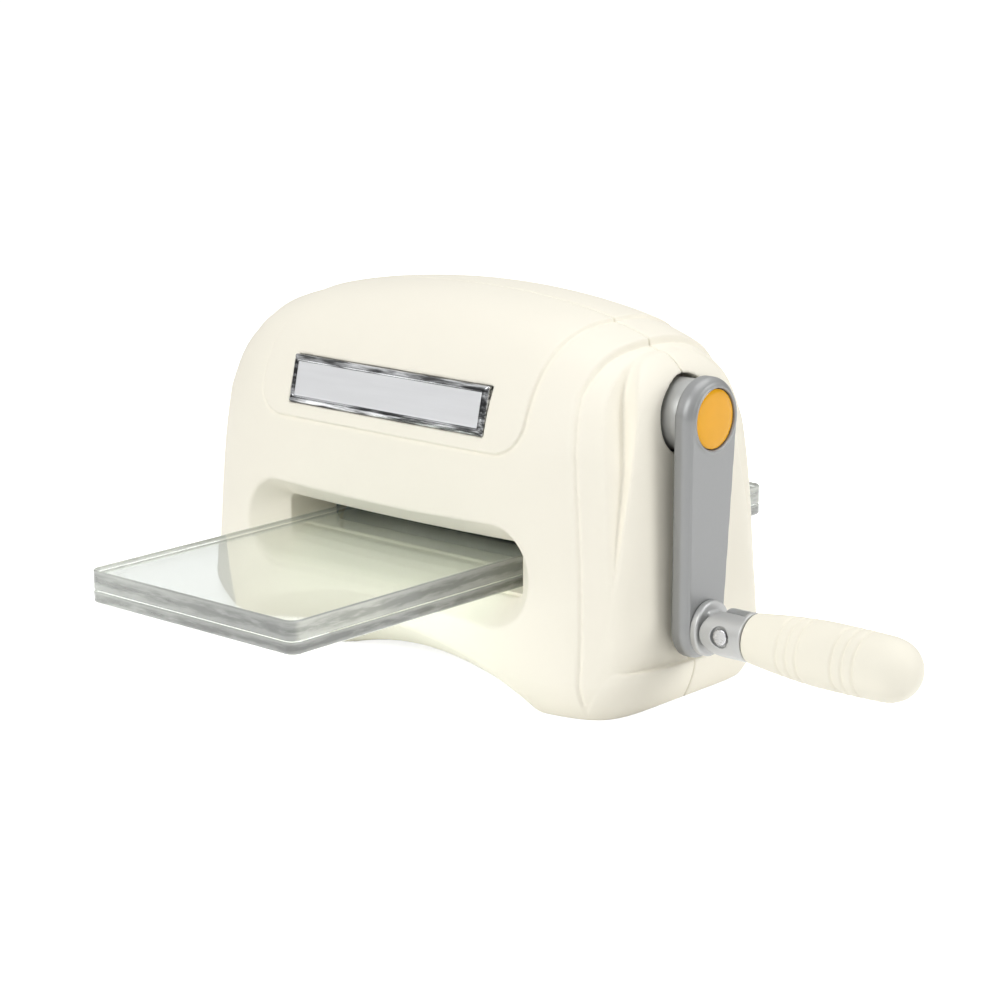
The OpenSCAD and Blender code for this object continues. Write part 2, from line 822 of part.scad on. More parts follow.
module upper_roller() {
    roller(upper_z, gear_x + gear_w + ring_t + 0.8);
}

module lower_roller() {
    roller(lower_z, frame_out + ring_gap + ring_t + 1);
}

module drive_gear() {
    color(STEEL) x_gear(drive_teeth, drive_module, journal_r, gear_x, upper_z, 180 / drive_teeth);
}

module crank_pinion() {
    color(BRONZE) x_gear(pinion_teeth, drive_module, shaft_r, gear_x, crank_z, 180);
}

module upper_sync_gear() {
    color(STEEL) x_gear(sync_teeth, sync_module, journal_r, -sync_x - gear_w, upper_z,
        180 + 180 / sync_teeth);
}

module lower_sync_gear() {
    color(STEEL) x_gear(sync_teeth, sync_module, journal_r, -sync_x - gear_w, lower_z, 0);
}

module upper_rings() {
    color(STEEL) {
        ring_on(-sync_x - gear_w - ring_t, upper_z, journal_r);
        ring_on(gear_x + gear_w, upper_z, journal_r);
    }
}

module lower_rings() {
    color(STEEL) {
        ring_on(-sync_x - gear_w - ring_t, lower_z, journal_r);
        ring_on(frame_out + ring_gap, lower_z, journal_r);
    }
}

// Turns what is drawn for a hanging crank to its resting lean.
module on_crank() {
    translate([0, 0, crank_z]) rotate([-crank_lean, 0, 0]) translate([0, 0, -crank_z]) children();
}

module crank_shaft() {
    color(STEEL) difference() {
        x_rod(frame_x - bush_flange_t - ring_t - 1.3, arm_x + 1.9, shaft_r, 0, crank_z);
        x_rod(arm_x - 8, arm_x + 4, 2, 0, crank_z, 48);
    }
}

module crank_ring() {
    color(STEEL) ring_on(frame_x - bush_flange_t - ring_t - ring_gap, crank_z, shaft_r);
}

module crank_hub() {
    color(SILVER) difference() {
        x_rod(hub_x, arm_x, hub_r, 0, crank_z);
        x_rod(hub_x - 1, arm_x + 1, shaft_r, 0, crank_z);
    }
}

module crank_screw() {
    color(STEEL) {
        x_rod(arm_x - 7, arm_x + 1.9, 2, 0, crank_z, 48);
        x_rod(arm_x + 1.9, arm_x + 3.4, 4, 0, crank_z, 48);
    }
}

module crank_arm() {
    low_z = crank_z - crank_throw;
    color(SILVER) on_crank() difference() {
        union() {
            hull() {
                for (end = [[crank_z, arm_r_top], [low_z, arm_r_low]]) {
                    x_rod(arm_x, arm_x + 0.7, end[1] - 0.7, 0, end[0], 48);
                    x_rod(arm_x + 0.7, arm_out - arm_bevel, end[1], 0, end[0], 48);
                    x_rod(arm_out - arm_bevel, arm_out, end[1] - arm_bevel, 0, end[0], 48);
                }
            }
            x_rod(arm_out - 1, arm_out + badge_ring_h, badge_r + badge_ring_w, 0, crank_z);
        }
        x_rod(arm_x - 1, arm_x + 1.9, shaft_r, 0, crank_z);
        x_rod(arm_x + 1.8, arm_out, 4.6, 0, crank_z);
        x_rod(arm_out - 1, arm_out + 2, badge_r, 0, crank_z);
        x_rod(arm_x - 1, arm_out + 1, 3.5, 0, low_z, 48);
    }
}

module arm_badge() {
    color("#f0a028") on_crank() x_rod(arm_out - 1, arm_out + 0.3, badge_r, 0, crank_z);
}

module handle_stud() {
    low_z = crank_z - crank_throw;
    color(SILVER) on_crank() difference() {
        union() {
            x_rod(arm_x, arm_out, 3.5, 0, low_z, 48);
            x_rod(arm_out, collar_end, collar_r, 0, low_z);
            intersection() {
                union() {
                    translate([arm_out, -tongue_t / 2, low_z - 4.2])
                        cube([fold_reach, tongue_t, 8.4]);
                    y_rod(-tongue_t / 2, tongue_t / 2, 4.2, pin_x, low_z);
                }
                x_rod(arm_out, pin_x + 6, fork_r - 0.4, 0, low_z);
            }
        }
        y_rod(-5, 5, pin_r + run_gap, pin_x, low_z);
    }
}

module handle_fork() {
    low_z = crank_z - crank_throw;
    slot = tongue_t + 2 * tongue_gap;
    color(SILVER) on_crank() difference() {
        intersection() {
            x_rod(pin_x - fork_r, fork_end, fork_r, 0, low_z, 96);
            union() {
                y_rod(-far / 2, far / 2, fork_r, pin_x, low_z, 96);
                translate([pin_x, -far / 2, low_z - far / 2]) cube([far, far, far]);
            }
        }
        translate([pin_x - fork_r - 1, -slot / 2, low_z - 4.5])
            cube([fork_r + 1 + 4.6, slot, far]);
        y_rod(-far / 2, far / 2, pin_r, pin_x, low_z);
        for (side = [0, 1]) mirror([0, side, 0])
            y_rod(-far / 2, -fork_r + 0.8, pin_r + 0.8, pin_x, low_z);
        x_rod(fork_end - 1.2, fork_end + 1, spindle_r, 0, low_z);
    }
}

module fold_pin() {
    low_z = crank_z - crank_throw;
    color(STEEL) on_crank() {
        y_rod(-fork_r + 0.2, fork_r - 0.2, pin_r, pin_x, low_z);
        y_rod(-fork_r + 0.2, -fork_r + 0.8, pin_r + 0.7, pin_x, low_z);
        y_rod(fork_r - 0.8, fork_r - 0.2, pin_r + 0.7, pin_x, low_z);
    }
}

module grip_spindle() {
    low_z = crank_z - crank_throw;
    end_x = grip_x + grip_l - spindle_short;
    color(STEEL) on_crank() {
        x_rod(fork_end - 1.2, end_x, spindle_r, 0, low_z);
        x_rod(end_x - snap_l, end_x, spindle_r + snap_h, 0, low_z);
    }
}

// Radius of the grip without its grooves, at the distance x from its inner end.
function grip_body_r(x) =
    let (u = x / grip_l)
    u < 0.78
        ? grip_r * (0.77 + 0.23 * sin(90 * min(1, u / 0.5)) - 0.02 * pow(max(0, u - 0.6) / 0.18, 2))
        : grip_r * 0.98 * sqrt(max(0, 1 - pow((u - 0.78) / 0.22, 2.6)));

// The three points that cut one groove at x.
function groove(x) = [
    [grip_body_r(x - groove_w / 2), x - groove_w / 2],
    [grip_body_r(x) - groove_d, x],
    [grip_body_r(x + groove_w / 2), x + groove_w / 2]
];

module grip() {
    low_z = crank_z - crank_throw;
    bore_r = spindle_r + run_gap;
    snap_r = spindle_r + snap_h + run_gap;
    snap_x = grip_l - spindle_short - snap_l - 0.1;
    end_x = grip_l - spindle_short + 0.4;
    plain_x = groove_x[0] + 2 * groove_pitch;
    plain_l = groove_x[1] - plain_x;
    first = [for (s = [0, 0.14, 0.28, 0.5, 0.74]) let (x = groove_x[0] * s) [grip_body_r(x), x]];
    middle = [for (s = [0.24, 0.5, 0.74]) let (x = plain_x + plain_l * s) [grip_body_r(x), x]];
    tail_x = groove_x[1] + 2 * groove_pitch + 1.6 * groove_w;
    last = [
        for (i = [0:15])
            let (x = tail_x + (grip_l - tail_x) * sin(90 * i / 16)) [grip_body_r(x), x]
    ];
    color(CREAM) on_crank() translate([grip_x, 0, low_z]) rotate([0, 90, 0])
        rotate_extrude($fn = 96) polygon(concat(
            [[bore_r, 0]], first,
            [for (k = [0:2]) each groove(groove_x[0] + groove_pitch * k)], middle,
            [for (k = [0:2]) each groove(groove_x[1] + groove_pitch * k)], last,
            [[0, grip_l], [0, end_x], [snap_r, end_x], [snap_r, snap_x], [bore_r, snap_x]]
        ));
}

module plate(z, t) {
    color("#dfe8e0", 0.5) translate([0, 0, z]) linear_extrude(t)
        round_box([-plate_w / 2, -plate_front], [plate_w / 2, plate_l - plate_front], plate_r);
}

module upper_plate() {
    plate(plate_mid_z, upper_t);
}

module lower_plate() {
    plate(plate_z, lower_t);
}

front_shell();
rear_shell();
base_cover();
rubber_feet();
shell_screws();
label_bezel();
label_field();
left_frame();
right_frame();
gear_plate();
plate_spacers();
spacer_screws();
frame_screws();
front_guide();
rear_guide();
front_tie_rod();
rear_tie_rod();
tie_rod_nuts();
bush_upper_left();
bush_upper_right();
bush_lower_left();
bush_lower_right();
bush_crank_inner();
bush_crank_outer();
upper_roller();
drive_gear();
upper_sync_gear();
upper_rings();
lower_roller();
lower_sync_gear();
lower_rings();
crank_shaft();
crank_pinion();
crank_ring();
crank_hub();
crank_arm();
crank_screw();
arm_badge();
handle_stud();
handle_fork();
fold_pin();
grip_spindle();
grip();
upper_plate();
lower_plate();
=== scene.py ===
"""Dresses a hand-cranked die cutting machine, and sets up its studio."""

import json
import math

import bpy
import numpy as np
from bpy.props import FloatProperty, FloatVectorProperty, PointerProperty
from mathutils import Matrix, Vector


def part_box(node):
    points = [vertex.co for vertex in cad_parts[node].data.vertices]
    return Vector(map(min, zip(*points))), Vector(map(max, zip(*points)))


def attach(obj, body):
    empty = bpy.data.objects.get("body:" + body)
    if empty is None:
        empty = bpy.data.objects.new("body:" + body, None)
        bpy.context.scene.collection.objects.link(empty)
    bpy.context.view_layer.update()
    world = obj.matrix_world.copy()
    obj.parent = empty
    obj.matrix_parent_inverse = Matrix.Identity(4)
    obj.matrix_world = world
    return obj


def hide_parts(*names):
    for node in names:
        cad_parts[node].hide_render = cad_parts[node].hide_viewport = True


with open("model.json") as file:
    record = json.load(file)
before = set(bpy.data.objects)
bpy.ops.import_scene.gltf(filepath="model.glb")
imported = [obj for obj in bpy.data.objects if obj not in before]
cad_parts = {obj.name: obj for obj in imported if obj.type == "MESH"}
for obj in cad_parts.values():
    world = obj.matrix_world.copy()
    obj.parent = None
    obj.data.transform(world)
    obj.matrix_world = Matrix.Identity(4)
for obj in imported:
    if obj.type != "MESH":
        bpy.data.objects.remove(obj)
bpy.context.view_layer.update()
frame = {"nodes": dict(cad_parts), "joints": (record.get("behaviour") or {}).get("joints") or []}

bl_info = {
    "name": "Die Cutting Machine",
    "version": (1, 0, 0),
    "blender": (4, 5, 0),
    "location": "3D View > Sidebar > Die Cutter",
    "description": "Builds the shells, plates, crank and handle of a die cutting machine",
    "category": "Object",
}

MM = 0.001
JOINTS = {joint["name"]: joint for joint in frame["joints"]}


def joint_place(name):
    """The place of a joint in millimetres."""
    return np.array(JOINTS[name]["pos_m"]) / MM


def node_box(name):
    """The lowest and highest corners of a CAD node in millimetres."""
    low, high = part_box(name)
    return np.array(low) / MM, np.array(high) / MM


CRANK_AXIS = joint_place("crank_turn")
FOLD_PIN = joint_place("handle_fold")
ARM_LEAN = math.atan2(FOLD_PIN[1] - CRANK_AXIS[1], CRANK_AXIS[2] - FOLD_PIN[2])


# ---- settings

def length(name, description, default, low=0.0, high=0.5):
    """A length property, in metres, from a default in millimetres."""
    return FloatProperty(name=name, description=description, default=default * MM,
                         min=low, max=high, unit="LENGTH", precision=5)


def colour(name, description, default):
    """A colour property."""
    return FloatVectorProperty(name=name, description=description, default=default,
                               size=3, min=0.0, max=1.0, subtype="COLOR")


def amount(name, description, default, high, low=0.0):
    """A plain number."""
    return FloatProperty(name=name, description=description, default=default, min=low, max=high)


def angle(name, description, degrees):
    """An angle property from a default in degrees."""
    return FloatProperty(name=name, description=description, default=math.radians(degrees),
                         subtype="ANGLE")


class ShellSettings(bpy.types.PropertyGroup):
    """Sizes and colour of the moulded body."""

    plastic: colour("Plastic", "Colour of the moulded body", (0.928, 0.890, 0.775))
    panel_step: length("Panel step", "Height of the raised top panel", 0.6)
    panel_half_w: length("Panel half width", "Half width of the raised top panel", 43.6)
    panel_z: length("Panel foot", "Height of the lower edge of the top panel", 62.2)
    panel_r: length("Panel corner", "Corner radius of the top panel", 8.0)
    side_step: length("Side step", "Drop from the main surface to the band beside it", 1.5)
    wall: length("Wall", "Thickness of the moulding under its deepest step", 2.2)
    edge_r: length("Edge", "Rounding of the outer edges", 0.35)
    pitch: length("Detail", "Spacing of the mesh points on the shells", 0.4)


class LabelSettings(bpy.types.PropertyGroup):
    """The plain label on the front panel."""

    metal: colour("Metal", "Colour of the bevelled frame", (0.62, 0.63, 0.64))
    field: colour("Field", "Colour of the glossy field", (0.80, 0.805, 0.82))
    border: length("Border", "Width of the bevelled frame", 1.7)


class PlateSettings(bpy.types.PropertyGroup):
    """The two clear cutting plates."""

    tint: colour("Tint", "Colour of light that has passed through a plate", (0.95, 0.97, 0.95))
    # This colour is painted light on the plates' edges: the highlight at their arrises, with a
    # darker tone of it painted between.
    edge: colour("Edge", "Colour that the plates' edges gather", (0.84, 0.87, 0.81))
    chamfer: length("Chamfer", "Width of the polished edge round each plate", 0.35)
    film: length("Film", "Air between the two plates", 0.08)


class CrankSettings(bpy.types.PropertyGroup):
    """The silver crank arm, its hub and its badge."""

    paint: colour("Paint", "Colour of the silver paint", (0.28, 0.285, 0.285))
    hub: colour("Hub", "Colour of the turned hub", (0.40, 0.405, 0.395))
    amber: colour("Badge", "Colour of the domed badge", (0.88, 0.42, 0.006))
    edge_r: length("Arm edge", "Rounding of the arm's outer edge", 2.6)
    dome: length("Dome", "Height of the badge's dome", 0.45)


class HandleSettings(bpy.types.PropertyGroup):
    """The folding handle and its grip."""

    plating: colour("Plating", "Colour of the plated fork", (0.48, 0.485, 0.48))
    grip: colour("Grip", "Colour of the grip", (0.905, 0.870, 0.750))
    groove_d: length("Groove", "Depth of the grooves round the grip", 0.4)


class StageSettings(bpy.types.PropertyGroup):
    """Floor, lights and camera."""

    floor: colour("Floor", "Colour of the floor", (0.94, 0.94, 0.94))
    ambient: amount("Ambient", "Strength of the light from all round", 0.24, 2.0)
    horizon: amount("Horizon", "Brightness of the horizon in metal", 0.30, 2.0)
    key: amount("Key", "Power of the lamp in front, in watts", 9.2, 50.0)
    fill: amount("Fill", "Power of the lamp at the right, in watts", 5.0, 50.0)
    top: amount("Top", "Power of the lamp overhead, in watts", 6.6, 50.0)
    azimuth: angle("Azimuth", "Direction that the camera looks in", 41.26)
    elevation: angle("Elevation", "Camera's angle above the horizon", 13.60)
    distance: length("Distance", "Distance from the camera to its target", 686.53, high=3.0)
    lens: amount("Lens", "Focal length in millimetres", 97.21, 300.0, low=20.0)


# ---- meshes

def put(name, data):
    """Adds an object to the scene."""
    item = bpy.data.objects.new(name, data)
    bpy.context.scene.collection.objects.link(item)
    return item


def add_piece(name, points, faces, material, body, node, smooth_angle=None):
    """Adds a mesh given in millimetres, in place of a CAD node, and ties it to a body."""
    mesh = bpy.data.meshes.new(name)
    mesh.from_pydata((np.asarray(points, dtype=float) * MM).tolist(), [],
                     [tuple(int(i) for i in face) for face in faces])
    mesh.validate()
    mesh.shade_smooth()
    if smooth_angle is not None:
        mesh.set_sharp_from_angle(angle=math.radians(smooth_angle))
    mesh.materials.append(material)
    piece = put(name, mesh)
    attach(piece, body)
    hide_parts(node)
    return piece


def lathe(profile, centre, turns=96):
    """Points and faces of a turned shape along X, from (distance, radius) pairs."""
    points = []
    rows = []
    for distance, radius in profile:
        count = turns if radius > 0 else 1
        rows.append([len(points) + k % count for k in range(turns)])
        for k in range(count):
            a = 2 * math.pi * k / turns
            points.append((centre[0] + distance, centre[1] + radius * math.cos(a),
                           centre[2] + radius * math.sin(a)))
    faces = []
    for near, far in zip(rows, rows[1:]):
        for k in range(turns):
            j = (k + 1) % turns
            faces.append(list(dict.fromkeys([near[k], near[j], far[j], far[k]])))
    return points, [face for face in faces if len(face) > 2]


# ---- fields

class Block:
    """A block of space sampled at an even pitch, in millimetres."""

    def __init__(self, low, high, pitch):
        self.low = np.array(low, dtype=np.float32)
        self.pitch = pitch
        counts = [int(math.ceil((b - a) / pitch)) + 1 for a, b in zip(low, high)]
        axes = [(a + pitch * np.arange(n)).astype(np.float32) for a, n in zip(low, counts)]
        self.x = axes[0][:, None, None]
        self.y = axes[1][None, :, None]
        self.z = axes[2][None, None, :]
        self.shape = tuple(counts)


def both(a, b, r):
    """What two fields share, with its outer edge rounded to r."""
    corner = np.hypot(np.maximum(a + r, 0), np.maximum(b + r, 0))
    return np.minimum(np.maximum(a, b), -r) + corner


def either(a, b, r):
    """Two fields together, with the corner between them filled to r."""
    return -both(-a, -b, r)


def without(a, b, r):
    """The first field without the second, with the new edge rounded to r."""
    return both(a, -b, r)


def as_distance(value, pitch):
    """A smooth field scaled so that it reads in millimetres near its zero level."""
    slope = np.zeros_like(value)
    for axis, size in enumerate(value.shape):
        if size > 1:
            slope += np.gradient(value, pitch, axis=axis) ** 2
    return value / np.sqrt(np.maximum(slope, 1e-6))


def plate_2d(u, v, half_u, half_v, r):
    """Distance to a rectangle with round corners."""
    du = np.abs(u) - half_u + r
    dv = np.abs(v) - half_v + r
    corner = np.hypot(np.maximum(du, 0), np.maximum(dv, 0))
    return corner + np.minimum(np.maximum(du, dv), 0) - r


def skin_points(block, field, cells):
    """One point for each cell: the middle of the places where its edges are crossed."""
    total = np.zeros((len(cells), 3))
    hits = np.zeros(len(cells))
    for axis in range(3):
        u, v = (axis + 1) % 3, (axis + 2) % 3
        for i, j in np.ndindex(2, 2):
            start = cells.copy()
            start[:, u] += i
            start[:, v] += j
            stop = start.copy()
            stop[:, axis] += 1
            a = field[tuple(start.T)].astype(float)
            b = field[tuple(stop.T)].astype(float)
            cut = (a < 0) != (b < 0)
            share = np.where(cut, a / np.where(cut, a - b, 1), 0)
            point = start.astype(float)
            point[:, axis] += share
            total[cut] += point[cut]
            hits[cut] += 1
    return block.low + block.pitch * total / hits[:, None]


def skin(block, field):
    """Points and quads that wrap the zero level of a field."""
    field = np.broadcast_to(field, block.shape)
    inside = field < 0
    count = np.zeros([n - 1 for n in block.shape], dtype=np.int8)
    for i, j, k in np.ndindex(2, 2, 2):
        count += inside[i:i + count.shape[0], j:j + count.shape[1], k:k + count.shape[2]]
    crossed = (count > 0) & (count < 8)
    cells = np.argwhere(crossed)
    index = np.full(crossed.shape, -1, dtype=np.int32)
    index[crossed] = np.arange(len(cells))
    quads = []
    for axis, size in enumerate(block.shape):
        u, v = (axis + 1) % 3, (axis + 2) % 3
        near = np.take(inside, range(size - 1), axis=axis)
        far = np.take(inside, range(1, size), axis=axis)
        edges = np.argwhere(near != far)
        for side in (u, v):
            edges = edges[(edges[:, side] > 0) & (edges[:, side] < block.shape[side] - 1)]
        corners = []
        for i, j in ((1, 1), (0, 1), (0, 0), (1, 0)):
            cell = edges.copy()
            cell[:, u] -= i
            cell[:, v] -= j
            corners.append(index[tuple(cell.T)])
        ring = np.stack(corners, axis=1)
        outward = near[tuple(edges.T)]
        quads.append(np.where(outward[:, None], ring, ring[:, ::-1]))
    return skin_points(block, field, cells), np.concatenate(quads)


def add_skin(name, block, field, placed, material, body, node):
    """Adds the skin of a field, with its points turned to their place."""
    points, quads = skin(block, field)
    add_piece(name, placed(points), quads, material, body, node)


# ---- materials

class Socket:
    """A node's output that takes part in sums."""

    def __init__(self, shader, link):
        self.shader = shader
        self.link = link

    def _math(self, operation, other, swapped=False):
        pair = (other, self) if swapped else (self, other)
        return self.shader.maths(operation, *pair)

    def __add__(self, other):
        return self._math("ADD", other)

    __radd__ = __add__

    def __sub__(self, other):
        return self._math("SUBTRACT", other)

    def __rsub__(self, other):
        return self._math("SUBTRACT", other, swapped=True)

    def __mul__(self, other):
        return self._math("MULTIPLY", other)

    __rmul__ = __mul__

    def __abs__(self):
        return self.shader.maths("ABSOLUTE", self)


class Tree:
    """A node tree that is filled from an empty start."""

    def __init__(self, owner):
        owner.use_nodes = True
        self.tree = owner.node_tree
        self.tree.nodes.clear()

    def set(self, socket, value):
        """Gives a socket a value or a link."""
        if isinstance(value, Socket):
            self.tree.links.new(value.link, socket)
        elif hasattr(value, "__len__"):
            rest = [1.0] * (len(socket.default_value) - len(value))
            socket.default_value = list(value) + rest
        else:
            socket.default_value = value

    def node(self, kind, settings=None, inputs=None, output=0):
        """Adds a node: its settings first, then the values or links of its sockets."""
        node = self.tree.nodes.new(kind)
        for key, value in (settings or {}).items():
            if key == "stops":
                for element, (place, level) in zip(node.color_ramp.elements, value):
                    element.position = place
                    element.color = (level, level, level, 1.0)
            else:
                setattr(node, key, value)
        for key, value in (inputs or {}).items():
            self.set(node.inputs[key], value)
        return Socket(self, node.outputs[output])

    def maths(self, operation, *values):
        """A Math node on values or links."""
        return self.node("ShaderNodeMath", {"operation": operation}, dict(enumerate(values)))

    def ray(self, *kinds):
        """1 for rays of any of the kinds, and 0 for others."""
        found = 0.0
        for kind in kinds:
            found = self.maths("MAXIMUM", found, self.node("ShaderNodeLightPath", output=kind))
        return found

    def blend(self, factor, a, b):
        """A shader between two."""
        return self.node("ShaderNodeMixShader", {}, {0: factor, 1: a, 2: b})


class Shader(Tree):
    """A material's node tree, with its Principled shader set up."""

    def __init__(self, name, **sockets):
        self.material = bpy.data.materials.new(name)
        super().__init__(self.material)
        self.principled = self.tree.nodes.new("ShaderNodeBsdfPrincipled")
        self.output = self.tree.nodes.new("ShaderNodeOutputMaterial")
        self.bare = Socket(self, self.principled.outputs["BSDF"])
        self.finish(self.bare)
        self.shade(**sockets)

    def finish(self, shader):
        """Sends a shader to the material's surface."""
        self.set(self.output.inputs["Surface"], shader)

    def cast_light(self, tint):
        """Lets lamps shine through, tinted, where the material would cast a solid shadow."""
        clear = self.node("ShaderNodeBsdfTransparent", {}, {"Color": tint})
        self.finish(self.blend(self.ray("Is Shadow Ray"), self.bare, clear))

    def place(self):
        """The object's own coordinates, in millimetres."""
        return self.node("ShaderNodeVectorMath", {"operation": "SCALE"},
                         {0: self.node("ShaderNodeTexCoord", output="Object"), "Scale": 1 / MM})

    def noise(self, size, detail=2.0, stretch=(1, 1, 1), roughness=0.5):
        """Noise with features of about a size in millimetres."""
        spot = self.node("ShaderNodeVectorMath", {"operation": "MULTIPLY"},
                         {0: self.place(), 1: stretch})
        return self.node("ShaderNodeTexNoise", {}, {"Vector": spot, "Scale": 1 / size,
                                                    "Detail": detail, "Roughness": roughness})

    def ramp(self, value, *stops):
        """A value led through two stops of (place, level)."""
        return self.node("ShaderNodeValToRGB", {"stops": stops}, {0: value})

    def mix(self, factor, a, b):
        """A colour between two."""
        return self.node("ShaderNodeMix", {"data_type": "RGBA"},
                         {"Factor": factor, 6: a, 7: b}, output=2)

    def tones(self, factor, base, dark, light):
        """A colour that runs between two tones of a base, each given as a share lighter."""
        return self.mix(factor, tinted(base, dark), tinted(base, light))

    def shade(self, **sockets):
        """Feeds the Principled shader's sockets."""
        for socket, value in sockets.items():
            self.set(self.principled.inputs[socket.replace("_", " ")], value)

    def bump(self, height, strength, depth):
        """Feeds a height map, depth millimetres deep, to the shader's normal."""
        normal = self.node("ShaderNodeBump", {}, {"Height": height, "Strength": strength,
                                                  "Distance": depth * MM})
        self.shade(Normal=normal)


def tinted(base, change):
    """A colour made lighter or darker by a share."""
    return tuple(min(1.0, c * (1 + change)) for c in base)


def moulded_plastic(name, base, grain=0.45, depth=0.03):
    """Matte moulded plastic with a fine spark-eroded grain and faint uneven tone."""
    s = Shader(name, IOR=1.46, Specular_IOR_Level=0.35)
    tone = s.noise(22, detail=3)
    s.shade(Base_Color=s.tones(tone, base, -0.015, 0.015),
            Roughness=0.47 + 0.10 * s.noise(3, detail=2))
    s.bump(s.noise(grain, detail=3, roughness=0.65), 0.35, depth)
    return s.material


def silver_paint(name, base):
    """Satin silver paint with a fine metallic sparkle."""
    s = Shader(name, Metallic=0.45, Coat_Weight=0.15, Coat_Roughness=0.25)
    s.shade(Base_Color=s.tones(s.noise(0.12, detail=2), base, -0.06, 0.06),
            Roughness=0.38 + 0.08 * s.noise(1.2, detail=3))
    s.bump(s.noise(0.25, detail=2), 0.08, 0.02)
    return s.material


def polished_steel(name, base, roughness):
    """Plated steel with fine polishing marks along X."""
    s = Shader(name, Metallic=1.0)
    marks = s.noise(0.3, detail=4, stretch=(0.15, 1, 1))
    s.shade(Base_Color=s.tones(marks, base, -0.05, 0.04),
            Roughness=roughness - 0.03 + 0.10 * marks)
    s.bump(marks, 0.05, 0.02)
    return s.material


def machine_steel(name, base, roughness, streak=(1, 1, 1), grime=0.25):
    """Machined or rolled steel with wear and a trace of grease."""
    s = Shader(name, Metallic=1.0)
    marks = s.noise(0.35, detail=5, stretch=streak)
    film = s.ramp(s.noise(9, detail=4), (0.45, 0.0), (0.7, 1.0))
    s.shade(Base_Color=s.tones(film, base, 0.03, -grime),
            Roughness=roughness - 0.06 + 0.2 * marks)
    s.bump(marks, 0.08, 0.03)
    return s.material


def crinkled_foil_painted_reflections(name, base):
    """Bright foil with crinkles that run along it, painted dark along them as painted
    reflections.
    """
    s = Shader(name, Metallic=1.0)
    crinkle_and_painted_reflection = s.ramp(s.noise(1.1, detail=5, stretch=(0.12, 1, 1)), (0.42, 0.0), (0.62, 1.0))
    # Painted reflection: the base colour goes near black along the crinkles.
    s.shade(Base_Color=s.mix(crinkle_and_painted_reflection, tinted(base, -0.88), base),
            Roughness=0.12 + 0.1 * crinkle_and_painted_reflection)
    s.bump(crinkle_and_painted_reflection, 0.25, 0.05)
    return s.material


def label_foil(name, base):
    """Glossy coated foil with a faint brushed tone."""
    s = Shader(name, Metallic=0.15, Coat_Weight=0.8, Coat_Roughness=0.05)
    brushed = s.noise(1.4, detail=4, stretch=(0.06, 1, 1))
    s.shade(Base_Color=s.tones(brushed, base, -0.06, 0.05),
            Roughness=0.18 + 0.1 * brushed)
    return s.material


def domed_enamel(name, base):
    """Glossy amber enamel with a faint cloud in it."""
    s = Shader(name, Specular_IOR_Level=0.1, Coat_Weight=0.35, Coat_Roughness=0.05)
    s.shade(Base_Color=s.tones(s.noise(5, detail=2), base, -0.05, 0.06),
            Roughness=0.16 + 0.05 * s.noise(1.5))
    return s.material


def clear_acrylic(name, tint):
    """Clear cast acrylic with handling haze on its faces."""
    s = Shader(name, IOR=1.49, Transmission_Weight=1.0, Base_Color=tint)
    s.shade(Roughness=s.ramp(s.noise(14, detail=5), (0.5, 0.01), (0.8, 0.05)))
    s.bump(s.noise(30, detail=2), 0.15, 0.05)
    s.cast_light(tint)
    return s.material


def acrylic_edge_painted_glints(name, light, low, high):
    """A polished plate edge from low to high, with a painted highlight at its arrises and
    painted dark reflections in streaks between.
    """
    s = Shader(name, IOR=1.49, Transmission_Weight=0.6, Coat_Weight=0.8, Coat_Roughness=0.03)
    height = s.node("ShaderNodeSeparateXYZ", {}, {0: s.place()}, output=2)
    offset = (height - (low + high) / 2) * (2 / (high - low))
    inner = 1.0 - abs(offset)
    streaks_and_painted_reflections = s.noise(1.6, detail=5, stretch=(0.16, 0.16, 1.0), roughness=0.6)
    # Painted light: the edge is coloured light at its arrises as a painted highlight, and darker
    # in streaks between them as painted reflections.
    painted_dark_streaks = s.node("ShaderNodeMapRange", {"interpolation_type": "SMOOTHSTEP"},
                  {"Value": inner * (streaks_and_painted_reflections * 3.2 - 0.8), "From Min": 0.1, "From Max": 0.8})
    s.shade(Base_Color=s.mix(painted_dark_streaks, light, tinted(light, -0.5)), Roughness=0.05 + 0.2 * streaks_and_painted_reflections)
    s.bump(streaks_and_painted_reflections, 0.3, 0.1)
    s.cast_light(light)
    return s.material


def foot_rubber():
    """Matte black rubber."""
    s = Shader("foot_rubber")
    dust = s.noise(1.5, detail=4)
    s.shade(Base_Color=s.mix(dust, (0.02, 0.02, 0.02), (0.05, 0.05, 0.048)),
            Roughness=0.72 + 0.15 * dust)
    s.bump(s.noise(0.4), 0.3, 0.05)
    return s.material


def dress(node, material):
    """Gives a CAD node its material."""
    mesh = frame["nodes"][node].data
    mesh.materials.clear()
    mesh.materials.append(material)


# ---- shells
# Lengths are in millimetres. W is across, D is deep and Z is a height.

SHELL_LOW, SHELL_HIGH = node_box("front_shell")
HALF_W = (SHELL_HIGH[0] - SHELL_LOW[0]) / 2
HALF_D = -SHELL_LOW[1]
FORM_TOP = 95.0
LEDGE_Z = 9.8
# The foot is drawn in under the ledge
FOOT_IN_W = 3.3
FOOT_IN_D = 4.2
FOOT_CURVE = 1.6
# Each crown is the height where it starts, its power and its root
SHOULDER_Z = 72.5
SIDE_CROWN = (SHOULDER_Z, 2.92, 1.96)
FRONT_CROWN = (38.0, 2.58, 3.15)
SIDE_DRAFT = 2.8
# Heights, and the squareness of the plan at each
PLAN_POWER = ((0, 65, 80, FORM_TOP), (6.5, 4.7, 3.35, 2.15))
# Heights, and how far out the end faces lie at each
END_LEAN = ((14, 60, 76, 80.5, FORM_TOP), (67.3, 63.3, 60, 59, 54))
END_KEEP = 0.35
END_FADE = (72, 86)
# From these heights up the form is read as a roof, found by halving
ROOF_FADE = (80, 88)
ROOF_FLOOR = 30.0
ROOF_HALVINGS = 26
ROOF_SLOPE = 4
TOP_SKIN = 0.6
THINNEST = 0.05
FAR_OFF = 60
